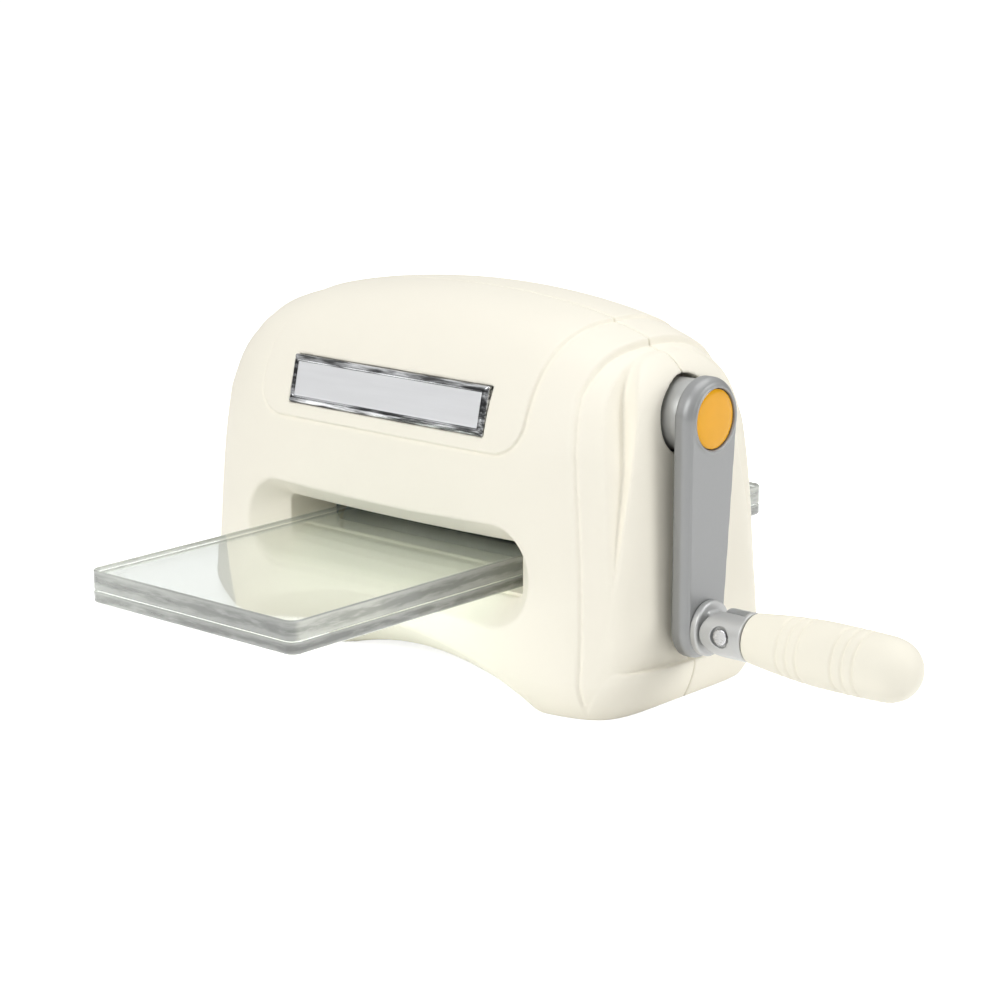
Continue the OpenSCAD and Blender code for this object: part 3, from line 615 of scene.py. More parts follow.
# The band between the front and the end faces narrows towards the top
BAND_HALF_W = 60.9
BAND_IN = 6.5
BAND_Z = 77
BAND_CURVE = 2.7
SEAM = 0.3
SEAM_R = 0.2
SEAM_DOWN = 5
LEDGE_LIP = 0.4
LEDGE_BOW = 0.0029
LEDGE_MITRE = (59.8, 0.6)
FLOOR_R = 0.6
FAIRING_HALF_W = 32.8
FAIRING_TAPER = 0.241
FAIRING_TOP = 84.6
FAIRING_R = 9.5
FAIRING_EDGE_R = 0.7
FAIRING_LEAN = ((LEDGE_Z, 60, FAIRING_TOP), (67.5, 66.3, 65.2))
# Each arch is its height and its radius: at the rim and deep under the body
RIM_ARCH = (4.7, 83)
DEEP_ARCH = (15, 115)
ARCH_HALF_W = 75
ARCH_SLOPE = 0.85
RIM_Y = 21.0
DEEP_Y = 37.4
SLOT_Y = 29.6
SLOT_HALF_W = 39.4
SLOT_Z = (25.9, 39.8)
SLOT_BACK = 0.8
SLOT_BOW = 1.7
FLARE_W = 8.1
FLARE_H = 5.5
FLARE_D = 7.7
FLARE_END = 1.4
FLARE_R = (2, 10)
FLARE_EASE = (0.25, 8)
SLEEVE_LAP = 3
TUNNEL_Y = 12.0
GUIDE_TOP = node_box("front_guide")[1][2]
GUIDE_GAP = 0.15
HOLLOW_IN = 0.5
HUB_HOLE_R = 9.8
HUB_HOLE_X = 50
LABEL_HALF = (32.5, 6.1)
LABEL_CENTRE = (0.0, -34.0, 71.6)
LABEL_LEAN = math.radians(13.3)
POCKET_HALF = [size + 0.1 for size in LABEL_HALF]
POCKET_D = 2.0
SCREW_SPOTS = ((33.0, 83.0), (61.2, 8.0))
WELL_R = 3.0
WELL_END_Y = 8
PARTING = 0.1
PARTING_R = 0.3
SHELL_BLOCK = ((-HALF_W - 1.5, -39.2, -1.2), (HALF_W + 1.5, 0.8, 96.2))


def between(z, low, high):
    """Share of the way from low to high, eased at both ends."""
    t = np.clip((z - low) / (high - low), 0, 1)
    return t * t * (3 - 2 * t)


def crown(z, start, power, root):
    """How much of its size the form keeps at a height, as it rounds over."""
    t = np.clip((z - start) / (FORM_TOP - start), 0, 1)
    return np.maximum(1 - t ** power, 0) ** (1 / root)


def at_height(z, table):
    """A value that changes with height, from heights and the values at them."""
    return np.interp(z, *table).astype(np.float32)


class BodyForm:
    """The form that both shells are cut from."""

    def __init__(self, settings):
        self.half_w = HALF_W + settings.panel_step / MM
        self.half_d = HALF_D + settings.panel_step / MM

    def foot(self, z):
        """How far the foot is drawn in, from 1 on the floor to 0 at the ledge."""
        return np.maximum(1 - z / LEDGE_Z, 0) ** FOOT_CURVE

    def width(self, z):
        """Half width of the plan at a height."""
        straight = self.half_w - FOOT_IN_W * self.foot(z)
        straight = straight - SIDE_DRAFT * np.maximum(z - LEDGE_Z, 0) / (SHOULDER_Z - LEDGE_Z)
        return straight * crown(z, *SIDE_CROWN)

    def depth(self, z):
        """Half depth of the plan at a height."""
        return (self.half_d - FOOT_IN_D * self.foot(z)) * crown(z, *FRONT_CROWN)

    def reach(self, x, y, z):
        """Below 1 inside the plan at a height, and above it outside."""
        power = at_height(z, PLAN_POWER)
        u = (np.abs(x) / np.maximum(self.width(z), THINNEST)) ** power
        v = (np.abs(y) / np.maximum(self.depth(z), THINNEST)) ** power
        return (u + v) ** (1 / power)

    def roof(self, x, y):
        """Height of the form's top over a point of its plan."""
        low = np.full(np.broadcast_shapes(x.shape, y.shape), ROOF_FLOOR)
        high = np.full(low.shape, FORM_TOP)
        for _ in range(ROOF_HALVINGS):
            middle = (low + high) / 2
            out = self.reach(x, y, middle) > 1
            high = np.where(out, middle, high)
            low = np.where(out, low, middle)
        return low.astype(np.float32)

    def distance(self, block):
        """Distance to the form all over a block."""
        side = self.reach(block.x, block.y, np.minimum(block.z, FORM_TOP - TOP_SKIN)) - 1
        side = np.clip(as_distance(side, block.pitch), -FAR_OFF, FAR_OFF)
        roof = self.roof(block.x, block.y)
        slope = np.hypot(*np.gradient(roof, block.pitch, axis=(0, 1)))
        over = (block.z - roof) / np.hypot(1, np.minimum(slope, ROOF_SLOPE))
        share = between(block.z, *ROOF_FADE)
        return side * (1 - share) + over * share


def end_face(block):
    """Distance to the flat end faces, which lean in towards the top."""
    return np.abs(block.x) - at_height(block.z, END_LEAN)


def fairing(block):
    """The tapering pad round the crank on each end face."""
    side = np.abs(block.y) - FAIRING_HALF_W + FAIRING_TAPER * (block.z - LEDGE_Z)
    outline = both(side / math.hypot(1, FAIRING_TAPER), block.z - FAIRING_TOP, FAIRING_R)
    face = np.abs(block.x) - at_height(block.z, FAIRING_LEAN)
    return both(face, outline, FAIRING_EDGE_R)


def arch(x, height, radius):
    """Height of an arch above the floor."""
    return height - radius + np.sqrt(radius ** 2 - np.minimum(np.abs(x), ARCH_HALF_W) ** 2)


def chin(block):
    """How far a point is above the arched undercut."""
    rim = arch(block.x, *RIM_ARCH)
    share = (np.abs(block.y) - RIM_Y) / (DEEP_Y - RIM_Y)
    rise = block.z - rim - (arch(block.x, *DEEP_ARCH) - rim) * share
    return rise * np.float32(ARCH_SLOPE)


def mouth(block):
    """The flared mouth of the slot, which bows outward along its middle."""
    middle = sum(SLOT_Z) / 2
    half_h = (SLOT_Z[1] - SLOT_Z[0]) / 2
    bow = SLOT_BOW * np.maximum(1 - (block.x / SLOT_HALF_W) ** 2, 0)
    out = np.clip((np.abs(block.y) - (SLOT_Y - SLOT_BACK + bow)) / FLARE_D, 0, FLARE_END)
    funnel = plate_2d(block.x, block.z - middle, SLOT_HALF_W + FLARE_W * out,
                      half_h + FLARE_H * out, FLARE_R[0] + FLARE_R[1] * out)
    return funnel * (1 - FLARE_EASE[0] * np.minimum(out * FLARE_EASE[1], 1))


def shell_outside(block, surface, settings):
    """The outer form of both shells: raised panel, band, end faces, fairings and ledge."""
    step = settings.panel_step / MM
    drop = step + settings.side_step / MM
    far = np.abs(block.x)
    half_panel = settings.panel_half_w / MM
    centre = settings.panel_z / MM + half_panel
    panel = plate_2d(block.x, np.minimum(block.z - centre, 0), half_panel, half_panel,
                     settings.panel_r / MM)
    band = BAND_HALF_W - BAND_IN * np.clip(block.z / BAND_Z, 0, 1) ** BAND_CURVE
    main = either(both(surface + step, far - band, settings.edge_r / MM),
                  both(surface, panel, 0.3), 0.1)
    seam = np.maximum(np.abs(panel - SEAM) - SEAM, -surface - step - SEAM)
    main = without(main, seam, SEAM_R)

    keep = step + END_KEEP + (drop - step - END_KEEP) * between(block.z, *END_FADE)
    ends = both(end_face(block), surface + keep, 0.3)
    ends = either(ends, both(fairing(block), surface + step + END_KEEP, 0.5), 0.3)
    rise = block.z - LEDGE_Z - LEDGE_LIP - LEDGE_BOW * np.abs(block.y) ** 2
    mitre = LEDGE_MITRE[0] + LEDGE_MITRE[1] * block.z - far
    ledge = both(both(surface + step, rise, 0.5), mitre, 0.4)
    outer = either(main, either(ends, ledge, 0.3), 0.1)
    crease = np.maximum(np.abs(far - band - SEAM) - SEAM, -surface - keep - SEAM)
    outer = without(outer, np.maximum(crease, LEDGE_Z - SEAM_DOWN - block.z), SEAM_R)
    return both(outer, -block.z, FLOOR_R)


def shell_field(block, settings, front):
    """One shell, for the front half of a block, before it is mirrored to its side."""
    wall = settings.wall / MM
    drop = settings.panel_step / MM + settings.side_step / MM
    surface = BodyForm(settings).distance(block)
    depth = np.abs(block.y)

    undercut = chin(block)
    funnel = mouth(block)
    hole = np.hypot(block.y - CRANK_AXIS[1], block.z - CRANK_AXIS[2]) - HUB_HOLE_R
    outer = shell_outside(block, surface, settings)
    outer = without(outer, np.maximum(undercut, RIM_Y - depth), 1.0)
    outer = without(outer, funnel, 0.5)
    outer = without(outer, np.maximum(hole, HUB_HOLE_X - block.x), 0.45)

    inside = np.maximum(TUNNEL_Y - depth, GUIDE_TOP + GUIDE_GAP - block.z)
    tunnel = np.maximum(funnel - wall, np.minimum(SLOT_Y - SLEEVE_LAP - depth, inside))
    hollow = np.maximum(surface + drop + wall + HOLLOW_IN, end_face(block) + wall)
    hollow = np.maximum(hollow, -tunnel)
    hollow = np.maximum(hollow, -np.maximum(undercut - wall, RIM_Y - depth))
    solid = without(outer, hollow, 0.3)
    if front:
        y, z = block.y - LABEL_CENTRE[1], block.z - LABEL_CENTRE[2]
        c, s = math.cos(LABEL_LEAN), math.sin(LABEL_LEAN)
        pocket = plate_2d(block.x, y * s + z * c, *POCKET_HALF, 0.4)
        solid = without(solid, np.maximum(pocket, y * c - z * s - POCKET_D), 0.3)
    else:
        for x, z in SCREW_SPOTS:
            well = np.hypot(np.abs(block.x) - x, block.z - z) - WELL_R
            solid = without(solid, np.maximum(well, WELL_END_Y - depth), 0.4)
    return both(solid, block.y + PARTING, PARTING_R)


class BUILD_OT_shells(bpy.types.Operator):
    """Build the two moulded shells and finish the base"""

    bl_idname = "die_cutter.shells"
    bl_label = "Shells"

    def execute(self, context):
        settings = context.scene.die_cutter_shell
        plastic = moulded_plastic("shell_plastic", settings.plastic)
        block = Block(*SHELL_BLOCK, settings.pitch / MM)
        for node in ("front_shell", "rear_shell"):
            front = node == "front_shell"
            points, quads = skin(block, shell_field(block, settings, front))
            if not front:
                points[:, 1] *= -1
                quads = quads[:, ::-1]
            add_piece(node + "_moulding", points, quads, plastic,
                      "housing", node)
        dress("base_cover", plastic)
        dress("rubber_feet", foot_rubber())
        return {"FINISHED"}


# ---- label

BEZEL_RISE = 0.95
BEZEL_SLOPE = (0.82, 0.57)
BEZEL_BACK = 1.95
BEZEL_FLOOR = 0.6
INSERT_RISE = 0.75
INSERT_BACK = 0.55


def stood_up(points):
    """Turns points drawn flat, facing +Z, to their place on the front panel."""
    x, u, v = points.T
    c, s = math.cos(LABEL_LEAN), math.sin(LABEL_LEAN)
    across, deep, high = LABEL_CENTRE
    return np.stack((across + x, deep + u * s - v * c, high + u * c + v * s), axis=1)


class BUILD_OT_label(bpy.types.Operator):
    """Build the plain label: a bevelled bright frame round a glossy field"""

    bl_idname = "die_cutter.label"
    bl_label = "Label"

    def execute(self, context):
        settings = context.scene.die_cutter_label
        border = settings.border / MM
        half_w, half_h = LABEL_HALF
        block = Block((-half_w - 0.6, -half_h - 0.6, -2.4), (half_w + 0.6, half_h + 0.6, 1.6),
                      pitch=0.2)
        outline = plate_2d(block.x, block.y, half_w, half_h, 0.5)
        bevel = BEZEL_SLOPE[0] * (block.z - 0.35) + BEZEL_SLOPE[1] * outline
        plate = both(both(outline, block.z - BEZEL_RISE, 0.2), bevel, 0.15)
        plate = both(plate, -BEZEL_BACK - block.z, 0.1)
        window = plate_2d(block.x, block.y, half_w - border, half_h - border, 0.3)
        bezel = without(plate, np.maximum(window, -BEZEL_FLOOR - block.z), 0.12)
        # The frame's foil has dark reflections painted along its crinkles.
        add_skin("label_frame", block, bezel, stood_up,
                 crinkled_foil_painted_reflections("bright_chrome", settings.metal),
                 "housing", "label_bezel")
        insert = both(window + 0.05, block.z - INSERT_RISE, 0.2)
        insert = both(insert, -INSERT_BACK - block.z, 0.05)
        add_skin("label_insert", block, insert, stood_up,
                 label_foil("label_foil", settings.field),
                 "housing", "label_field")
        return {"FINISHED"}


# ---- plates

PLATE_CORNER = 3.0
CORNER_STEPS = 8


def corner_ring(low, high):
    """Centres and directions of the points round a plate's four corners."""
    ring = []
    (x0, y0, _), (x1, y1, _) = low + PLATE_CORNER, high - PLATE_CORNER
    for turn, centre in enumerate(((x1, y1), (x0, y1), (x0, y0), (x1, y0))):
        for k in range(CORNER_STEPS + 1):
            a = math.pi / 2 * (turn + k / CORNER_STEPS)
            ring.append((centre, (math.cos(a), math.sin(a))))
    return ring


def build_plate(name, node, low_trim, high_trim, settings, clear):
    """A clear plate with polished chamfers, in place of its CAD node."""
    low, high = node_box(node)
    low[2] += low_trim
    high[2] -= high_trim
    chamfer = settings.chamfer / MM
    levels = ((low[2], -chamfer), (low[2] + chamfer, 0.0),
              (high[2] - chamfer, 0.0), (high[2], -chamfer))
    ring = corner_ring(low, high)
    points = [(c[0] + (PLATE_CORNER + inset) * d[0], c[1] + (PLATE_CORNER + inset) * d[1], z)
              for z, inset in levels for c, d in ring]
    n = len(ring)
    faces = [list(range(n))[::-1], [3 * n + k for k in range(n)]]
    for start in (0, n, 2 * n):
        for k in range(n):
            j = (k + 1) % n
            faces.append([start + k, start + j, start + n + j, start + n + k])
    plate = add_piece(name, points, faces, clear, "plates", node,
                      smooth_angle=20)
    # The edge faces get painted highlights at the arrises and painted dark reflections between
    # them.
    plate.data.materials.append(acrylic_edge_painted_glints(node + "_edge", settings.edge, low[2], high[2]))
    for face in plate.data.polygons[2:]:
        face.material_index = 1


class BUILD_OT_plates(bpy.types.Operator):
    """Build the two clear cutting plates"""

    bl_idname = "die_cutter.plates"
    bl_label = "Plates"

    def execute(self, context):
        settings = context.scene.die_cutter_plates
        clear = clear_acrylic("clear_acrylic", settings.tint)
        film = settings.film / MM
        build_plate("upper_plate_clear", "upper_plate", film, 0, settings, clear)
        build_plate("lower_plate_clear", "lower_plate", 0, film, settings, clear)
        return {"FINISHED"}


# ---- crank

THROW = float(np.hypot(FOLD_PIN[1] - CRANK_AXIS[1], FOLD_PIN[2] - CRANK_AXIS[2]))
LOW_Z = CRANK_AXIS[2] - THROW
ARM_X = node_box("crank_hub")[1][0]
ARM_OUT = ARM_X + 4.7
ARM_R = (9.9, 7.9)
ARM_BACK_R = 0.5
PAD_IN = 1.35
PAD_STEP = 0.3
BADGE_R = 7.4
BADGE_GAP = 0.22
BADGE_SEAT = 1
RING_OUT = 0.42
RING_HALF_W = 0.45
RING_HALF_H = 0.7
RING_SINK = 0.3
# The hub's outline, as distances from the arm and radii
HUB_PROFILE = ((-8.6, 0), (-8.6, 8.2), (-8.2, 8.6), (-7.6, 8.8), (-2.4, 8.8),
               (-0.5, 8.8), (-0.15, 8.65), (0, 8.3), (0, 2.4))


def hung(points):
    """Turns points drawn for a hanging crank to its lean at rest."""
    x, y, z = np.asarray(points, dtype=float).T
    y, z = y - CRANK_AXIS[1], z - CRANK_AXIS[2]
    c, s = math.cos(ARM_LEAN), math.sin(ARM_LEAN)
    return np.stack((x, CRANK_AXIS[1] + y * c - z * s, CRANK_AXIS[2] + y * s + z * c), axis=1)


class BUILD_OT_crank(bpy.types.Operator):
    """Build the crank arm, hub and badge"""

    bl_idname = "die_cutter.crank"
    bl_label = "Crank"

    def execute(self, context):
        settings = context.scene.die_cutter_crank
        self.arm(settings)
        points, faces = lathe(HUB_PROFILE, (ARM_X, CRANK_AXIS[1], CRANK_AXIS[2]))
        add_piece("hub_turning", points, faces, silver_paint("hub_paint", settings.hub),
                  "crank", "crank_hub", smooth_angle=35)
        self.badge(settings)
        return {"FINISHED"}

    def arm(self, settings):
        """The tapered arm, with a round edge that ends in a fine step at its flat face."""
        block = Block((ARM_X - 0.8, -12, LOW_Z - 10), (ARM_OUT + 1.2, 12, CRANK_AXIS[2] + 12),
                      pitch=0.3)
        drop = CRANK_AXIS[2] - block.z
        taper = (ARM_R[0] - ARM_R[1]) / THROW
        along = np.clip((drop - taper * np.abs(block.y)) / THROW, 0, 1)
        radius = ARM_R[0] + (ARM_R[1] - ARM_R[0]) * along
        outline = np.hypot(block.y, drop - THROW * along) - radius
        face = block.x - ARM_OUT
        body = both(outline, face, settings.edge_r / MM)
        body = both(body, ARM_X - block.x, ARM_BACK_R)
        pad = both(outline + PAD_IN, face, 0.12)
        pad = np.maximum(pad, ARM_X + 1 - block.x)
        arm = np.minimum(np.maximum(body, face + PAD_STEP), pad)
        reach = np.hypot(block.y, block.z - CRANK_AXIS[2])
        ring = np.abs(reach - BADGE_R - RING_OUT) - RING_HALF_W
        ring = both(ring, np.abs(block.x - ARM_OUT + RING_SINK) - RING_HALF_H, 0.35)
        arm = either(arm, ring, 0.2)
        arm = without(arm, np.maximum(reach - BADGE_R, ARM_OUT - BADGE_SEAT - block.x), 0.15)
        add_skin("crank_arm_casting", block, arm, hung,
                 silver_paint("silver_paint", settings.paint),
                 "crank", "crank_arm")

    def badge(self, settings):
        """The plain domed badge."""
        dome = settings.dome / MM
        rim = BADGE_R - BADGE_GAP
        profile = [(-1.0, 0), (-1.0, rim), (-0.3, rim)]
        profile += [(-0.3 + dome * math.sin(a), rim * math.cos(a) ** 0.8)
                    for a in (math.pi / 2 * k / 16 for k in range(1, 17))]
        profile[-1] = (profile[-1][0], 0)
        points, faces = lathe(profile, (ARM_OUT, CRANK_AXIS[1], CRANK_AXIS[2]))
        add_piece("badge_dome", points, faces, domed_enamel("amber_badge", settings.amber),
                  "crank", "arm_badge", smooth_angle=50)


# ---- handle

PIN_X = FOLD_PIN[0]
PIN_R = 1.6
PIN_HEAD_R = 2.0
PIN_HEAD_Y = 5.45
PIN_HALF_L = 5.6
FORK_R = 6.0
FORK_END = node_box("handle_fork")[1][0]
FORK_SLOT = (2.3, 4.5, 4.6)
HEAD_WELL = (2.6, 4.7)
FOLD_GAP = 0.2
COLLAR_R = 6.8
STUD_SHANK_R = 3.5
TONGUE_R = 4.2
TONGUE_HALF_T = 2.0
TONGUE_REACH = 5.6
TONGUE_HOLE_R = 1.65
GRIP_X = node_box("grip")[0][0]
GRIP_L = node_box("grip")[1][0] - GRIP_X
GRIP_R = 7.9
GRIP_BORE = (2.0, 3.1)
GRIP_LIP = 0.5
# Shares of the grip's length: where its nose starts, and how long it is
NOSE_START = 0.78
NOSE_L = 0.22
NOSE_CURVE = 2.6
GROOVE_GROUPS = (10.9, 26.6)
GROOVE_PITCH = 2.9
GROOVE_W = 0.75


def grip_radius(x):
    """Radius of the grip at a distance from its inner end."""
    u = x / GRIP_L
    if u < NOSE_START:
        swell = math.sin(math.pi / 2 * min(1.0, u / 0.5))
        return GRIP_R * (0.77 + 0.23 * swell - 0.02 * (max(0.0, u - 0.6) / 0.18) ** 2)
    nose = ((u - NOSE_START) / NOSE_L) ** NOSE_CURVE
    return GRIP_R * 0.98 * math.sqrt(max(0.0, 1 - nose))


class BUILD_OT_handle(bpy.types.Operator):
    """Build the folding fork, its pin and stud, and the grooved grip"""

    bl_idname = "die_cutter.handle"
    bl_label = "Handle"

    def execute(self, context):
        settings = context.scene.die_cutter_handle
        plating = silver_paint("fork_plating", settings.plating)
        self.stud(plating)
        self.fork(plating)
        self.pin()
        self.grip(settings)
        return {"FINISHED"}

    def stud(self, plating):
        """The flanged stud whose tongue sits between the fork's ears."""
        block = Block((ARM_X - 0.6, -7.6, LOW_Z - 7.6), (PIN_X + 5, 7.6, LOW_Z + 7.6),
                      pitch=0.18)
        z = block.z - LOW_Z
        radius = np.hypot(block.y, z)
        pin = np.hypot(block.x - PIN_X, z)
        collar = PIN_X - FORK_R - FOLD_GAP - ARM_OUT
        flange = np.abs(block.x - ARM_OUT - collar / 2) - collar / 2
        flange = both(radius - COLLAR_R, flange, 0.45)
        shank = np.maximum(ARM_X - block.x, block.x - ARM_OUT - 1)
        shank = both(radius - STUD_SHANK_R, shank, 0.2)
        strap = np.maximum(ARM_OUT - block.x, block.x - PIN_X)
        strap = np.maximum(np.abs(z) - TONGUE_R, strap)
        tongue = both(np.minimum(pin - TONGUE_R, strap), np.abs(block.y) - TONGUE_HALF_T, 0.3)
        tongue = both(tongue, radius - TONGUE_REACH, 0.3)
        tongue = without(tongue, pin - TONGUE_HOLE_R, 0.1)
        stud = either(np.minimum(flange, shank), tongue, 0.5)
        add_skin("handle_stud_forging", block, stud, hung, plating,
                 "crank", "handle_stud")

    def fork(self, plating):
        """The fork, a turned bar with rounded ears, slotted for the tongue."""
        block = Block((PIN_X - 7, -7, LOW_Z - 7), (FORK_END + 0.8, 7, LOW_Z + 7), pitch=0.13)
        z = block.z - LOW_Z
        pin = np.hypot(block.x - PIN_X, z)
        ears = np.where(block.x < PIN_X, pin - FORK_R, block.x - FORK_END)
        body = both(np.hypot(block.y, z) - FORK_R, ears, 0.45)
        half_t, below, deep = FORK_SLOT
        slot = np.maximum(np.maximum(np.abs(block.y) - half_t, -below - z),
                          block.x - PIN_X - deep)
        body = without(body, slot, 0.3)
        body = without(body, pin - PIN_R, 0.1)
        well = np.maximum(pin - HEAD_WELL[0], HEAD_WELL[1] - np.abs(block.y))
        body = without(body, well, 0.15)
        add_skin("fork_forging", block, body, hung, plating,
                 "handle", "handle_fork")

    def pin(self):
        """The fold pin with low crowned heads."""
        block = Block((PIN_X - 3, -6.6, LOW_Z - 3), (PIN_X + 3, 6.6, LOW_Z + 3), pitch=0.12)
        radius = np.hypot(block.x - PIN_X, block.z - LOW_Z)
        shank = both(radius - PIN_R, np.abs(block.y) - PIN_HALF_L, 0.1)
        head = both(radius - PIN_HEAD_R, np.abs(np.abs(block.y) - PIN_HEAD_Y) - 0.3, 0.25)
        add_skin("fold_pin_rivet", block, np.minimum(shank, head), hung,
                 polished_steel("pin_steel", (0.50, 0.50, 0.51), 0.26),
                 "handle", "fold_pin")

    def grip(self, settings):
        """The turned grip with two groups of three grooves."""
        depth = settings.groove_d / MM
        grooves = [start + GROOVE_PITCH * k for start in GROOVE_GROUPS for k in range(3)]
        stations = np.linspace(0.5, GRIP_L * NOSE_START, 220).tolist()
        stations += [GRIP_L * (NOSE_START + NOSE_L * math.sin(math.pi / 2 * k / 34))
                     for k in range(1, 35)]
        bore_l, bore_r = GRIP_BORE
        lip_r = grip_radius(0) - GRIP_LIP
        profile = [(bore_l, bore_r), (0.0, bore_r), (0.0, lip_r)]
        profile += [(GRIP_LIP - GRIP_LIP * math.cos(a), lip_r + GRIP_LIP * math.sin(a))
                    for a in (math.pi / 2 * k / 4 for k in range(1, 4))]
        for x in stations:
            dip = sum(math.exp(-((x - g) / (GROOVE_W / 2)) ** 2) for g in grooves)
            profile.append((x, max(grip_radius(x) - depth * dip, 0.0)))
        profile[-1] = (GRIP_L, 0.0)
        points, faces = lathe(profile, (GRIP_X, CRANK_AXIS[1], LOW_Z), turns=128)
        plastic = moulded_plastic("grip_plastic", settings.grip, grain=0.6, depth=0.02)
        add_piece("grip_moulding", hung(points), faces, plastic, "grip_sleeve", "grip",
                  smooth_angle=60)


# ---- mechanism

# Each steel's or bronze's name, colour, roughness, what else is its own, and its pieces
FINISHES = (
    ("zinc_sheet", (0.40, 0.405, 0.40), 0.42, {}, "left_frame right_frame gear_plate"),
    ("ground_roller", (0.30, 0.30, 0.29), 0.30, {"streak": (0.2, 2, 2)},
     "upper_roller lower_roller crank_shaft grip_spindle"),
    ("sintered_gear", (0.24, 0.24, 0.25), 0.45, {"grime": 0.45},
     "drive_gear upper_sync_gear lower_sync_gear"),
    ("oiled_bronze", (0.50, 0.33, 0.14), 0.34, {},
     "bush_upper_left bush_upper_right bush_lower_left bush_lower_right "
     "bush_crank_inner bush_crank_outer crank_pinion tie_rod_nuts"),
    ("plated_fastener", (0.46, 0.46, 0.45), 0.28, {},
     "shell_screws frame_screws spacer_screws plate_spacers front_tie_rod rear_tie_rod "
     "upper_rings lower_rings crank_ring crank_screw"),
)


class BUILD_OT_mechanism(bpy.types.Operator):
    """Finish the frames, rollers, gears, bushes and fasteners inside"""

    bl_idname = "die_cutter.mechanism"
    bl_label = "Mechanism"

    def execute(self, context):
        for name, base, roughness, own, nodes in FINISHES:
            finish = machine_steel(name, base, roughness, **own)
            for node in nodes.split():
                dress(node, finish)
        for node in ("front_guide", "rear_guide"):
            dress(node, bpy.data.materials["shell_plastic"])
        return {"FINISHED"}


# ---- stage

# Each lamp's setting, its place and its width, in metres
LAMPS = (
    ("key", (0.00, -1.05, 0.80), 0.8),
    ("fill", (1.05, 0.52, 0.42), 0.5),
    ("top", (0.10, 0.35, 1.20), 1.0),
)
LIT_SPOT = (0.0, 0.0, 0.045)
CAMERA_AIM = (7.00, 0.0, 39.81)
FLOOR_HALF = 3.0
FLOOR_GLOW = 0.8
SENSOR_W = 36.0


def floor_paint(base):
    """A plain floor that is seen lifted to white, and still shows the object's shadow."""
    s = Shader("floor_paint", Roughness=0.9)
    s.shade(Base_Color=s.tones(s.noise(400, detail=1), base, -0.003, 0.003))
    light = s.node("ShaderNodeEmission", {}, {"Strength": FLOOR_GLOW})
    lifted = s.node("ShaderNodeAddShader", {}, {0: light, 1: s.bare})
    seen = s.ray("Is Camera Ray", "Is Glossy Ray", "Is Transmission Ray")
    s.finish(s.blend(seen, s.bare, lifted))
    return s.material


def facing(direction):
    """The turn of a lamp or camera that faces a direction."""
    return direction.to_track_quat("-Z", "Y").to_euler()


def add_lamp(name, place, size, power):
    """A soft square lamp that faces the object."""
    lamp = bpy.data.lights.new(name, "AREA")
    lamp.size = size
    lamp.energy = power
    item = put(name, lamp)
    item.location = place
    item.rotation_euler = facing(Vector(LIT_SPOT) - Vector(place))


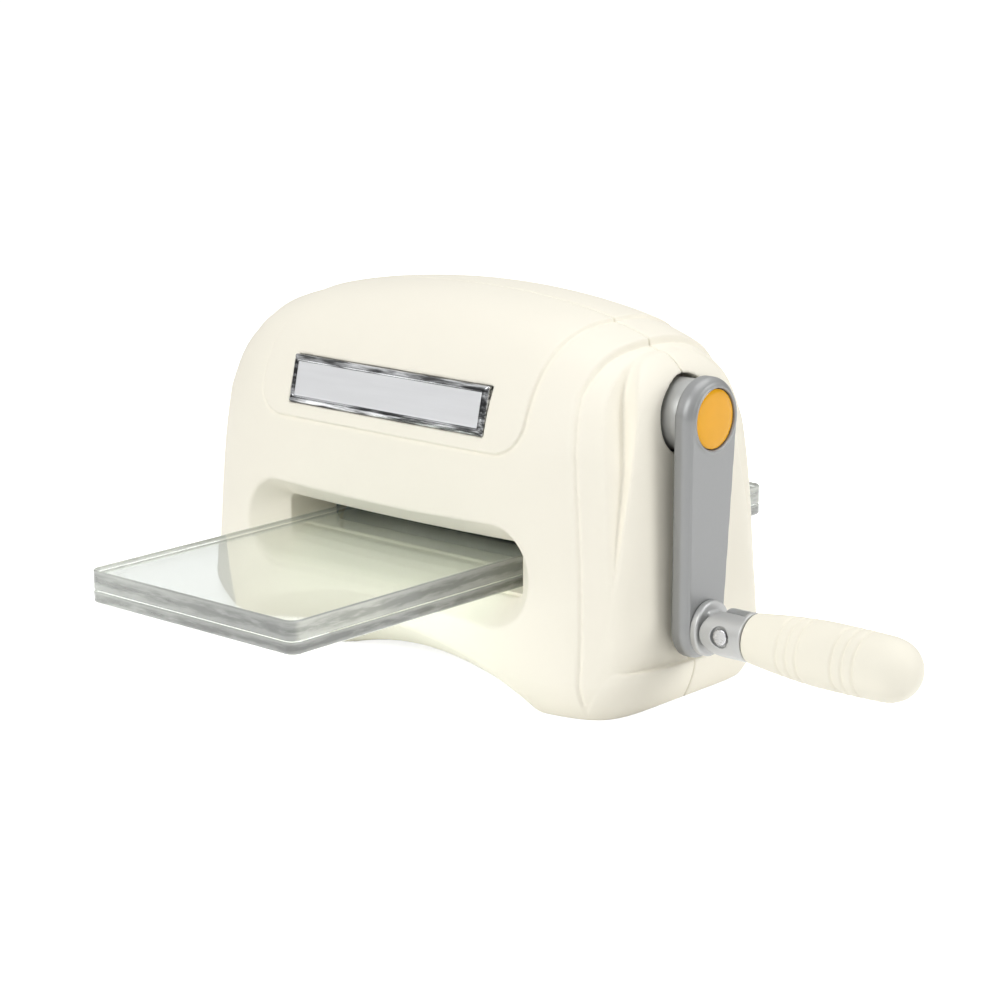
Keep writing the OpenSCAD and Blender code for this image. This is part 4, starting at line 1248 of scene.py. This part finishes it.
class BUILD_OT_stage(bpy.types.Operator):
    """Build the floor, the lights and the camera"""

    bl_idname = "die_cutter.stage"
    bl_label = "Studio"

    def execute(self, context):
        scene = context.scene
        settings = scene.die_cutter_stage
        scene.view_settings.view_transform = "Standard"
        self.floor(settings)
        self.world(scene, settings)
        for name, place, size in LAMPS:
            add_lamp(name + "_lamp", place, size, getattr(settings, name))
        self.camera(scene, settings)
        return {"FINISHED"}

    def floor(self, settings):
        """A wide plain floor."""
        h = FLOOR_HALF
        mesh = bpy.data.meshes.new("floor")
        mesh.from_pydata([(-h, -h, 0), (h, -h, 0), (h, h, 0), (-h, h, 0)], [], [(0, 1, 2, 3)])
        mesh.materials.append(floor_paint(settings.floor))
        put("floor", mesh)

    def world(self, scene, settings):
        """Even light from all round: white behind the object, darker low down in metal."""
        world = bpy.data.worlds.new("studio")
        w = Tree(world)
        lit, white, dark = (
            w.node("ShaderNodeBackground", {}, {"Color": (1, 1, 1), "Strength": level})
            for level in (settings.ambient, 1.0, settings.horizon))
        spot = w.node("ShaderNodeTexCoord")
        height = w.node("ShaderNodeSeparateXYZ", {}, {0: spot}, output=2)
        rise = w.node("ShaderNodeMapRange", {"interpolation_type": "SMOOTHSTEP"},
                      {"Value": height, "From Min": 0.05, "From Max": 0.6})
        plain = w.blend(w.ray("Is Camera Ray", "Is Transmission Ray"), lit, white)
        seen = w.blend(w.ray("Is Glossy Ray"), plain, w.blend(rise, dark, white))
        w.set(w.tree.nodes.new("ShaderNodeOutputWorld").inputs["Surface"], seen)
        scene.world = world

    def camera(self, scene, settings):
        """The camera, aimed at the middle of the body."""
        a, e = settings.azimuth, settings.elevation
        offset = Vector((math.sin(a) * math.cos(e), -math.cos(a) * math.cos(e), math.sin(e)))
        data = bpy.data.cameras.new("camera")
        data.lens = settings.lens
        data.sensor_width = SENSOR_W
        data.clip_start = 0.01
        camera = put("camera", data)
        camera.location = Vector(CAMERA_AIM) * MM + offset * settings.distance
        camera.rotation_euler = facing(-offset)
        scene.camera = camera


# ---- add-on

class BUILD_PT_panel(bpy.types.Panel):
    """Lists the pieces of the machine in the sidebar."""

    bl_idname = "BUILD_PT_die_cutter"
    bl_label = "Die Cutting Machine"
    bl_space_type = "VIEW_3D"
    bl_region_type = "UI"
    bl_category = "Die Cutter"

    def draw(self, context):
        for attribute, operator, group in STEPS:
            box = self.layout.box()
            box.operator(operator.bl_idname)
            if group:
                settings = getattr(context.scene, attribute)
                for name in group.__annotations__:
                    box.prop(settings, name)


STEPS = (
    ("die_cutter_shell", BUILD_OT_shells, ShellSettings),
    ("die_cutter_label", BUILD_OT_label, LabelSettings),
    ("die_cutter_plates", BUILD_OT_plates, PlateSettings),
    ("die_cutter_crank", BUILD_OT_crank, CrankSettings),
    ("die_cutter_handle", BUILD_OT_handle, HandleSettings),
    ("", BUILD_OT_mechanism, None),
    ("die_cutter_stage", BUILD_OT_stage, StageSettings),
)


def register():
    for attribute, operator, group in STEPS:
        if group:
            bpy.utils.register_class(group)
            setattr(bpy.types.Scene, attribute, PointerProperty(type=group))
        bpy.utils.register_class(operator)
    bpy.utils.register_class(BUILD_PT_panel)


def unregister():
    bpy.utils.unregister_class(BUILD_PT_panel)
    for attribute, operator, group in reversed(STEPS):
        bpy.utils.unregister_class(operator)
        if group:
            delattr(bpy.types.Scene, attribute)
            bpy.utils.unregister_class(group)


def main():
    register()
    for _, operator, _ in STEPS:
        getattr(bpy.ops.die_cutter, operator.bl_idname.split(".")[1])()
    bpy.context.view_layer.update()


if __name__ == "__main__":
    main()
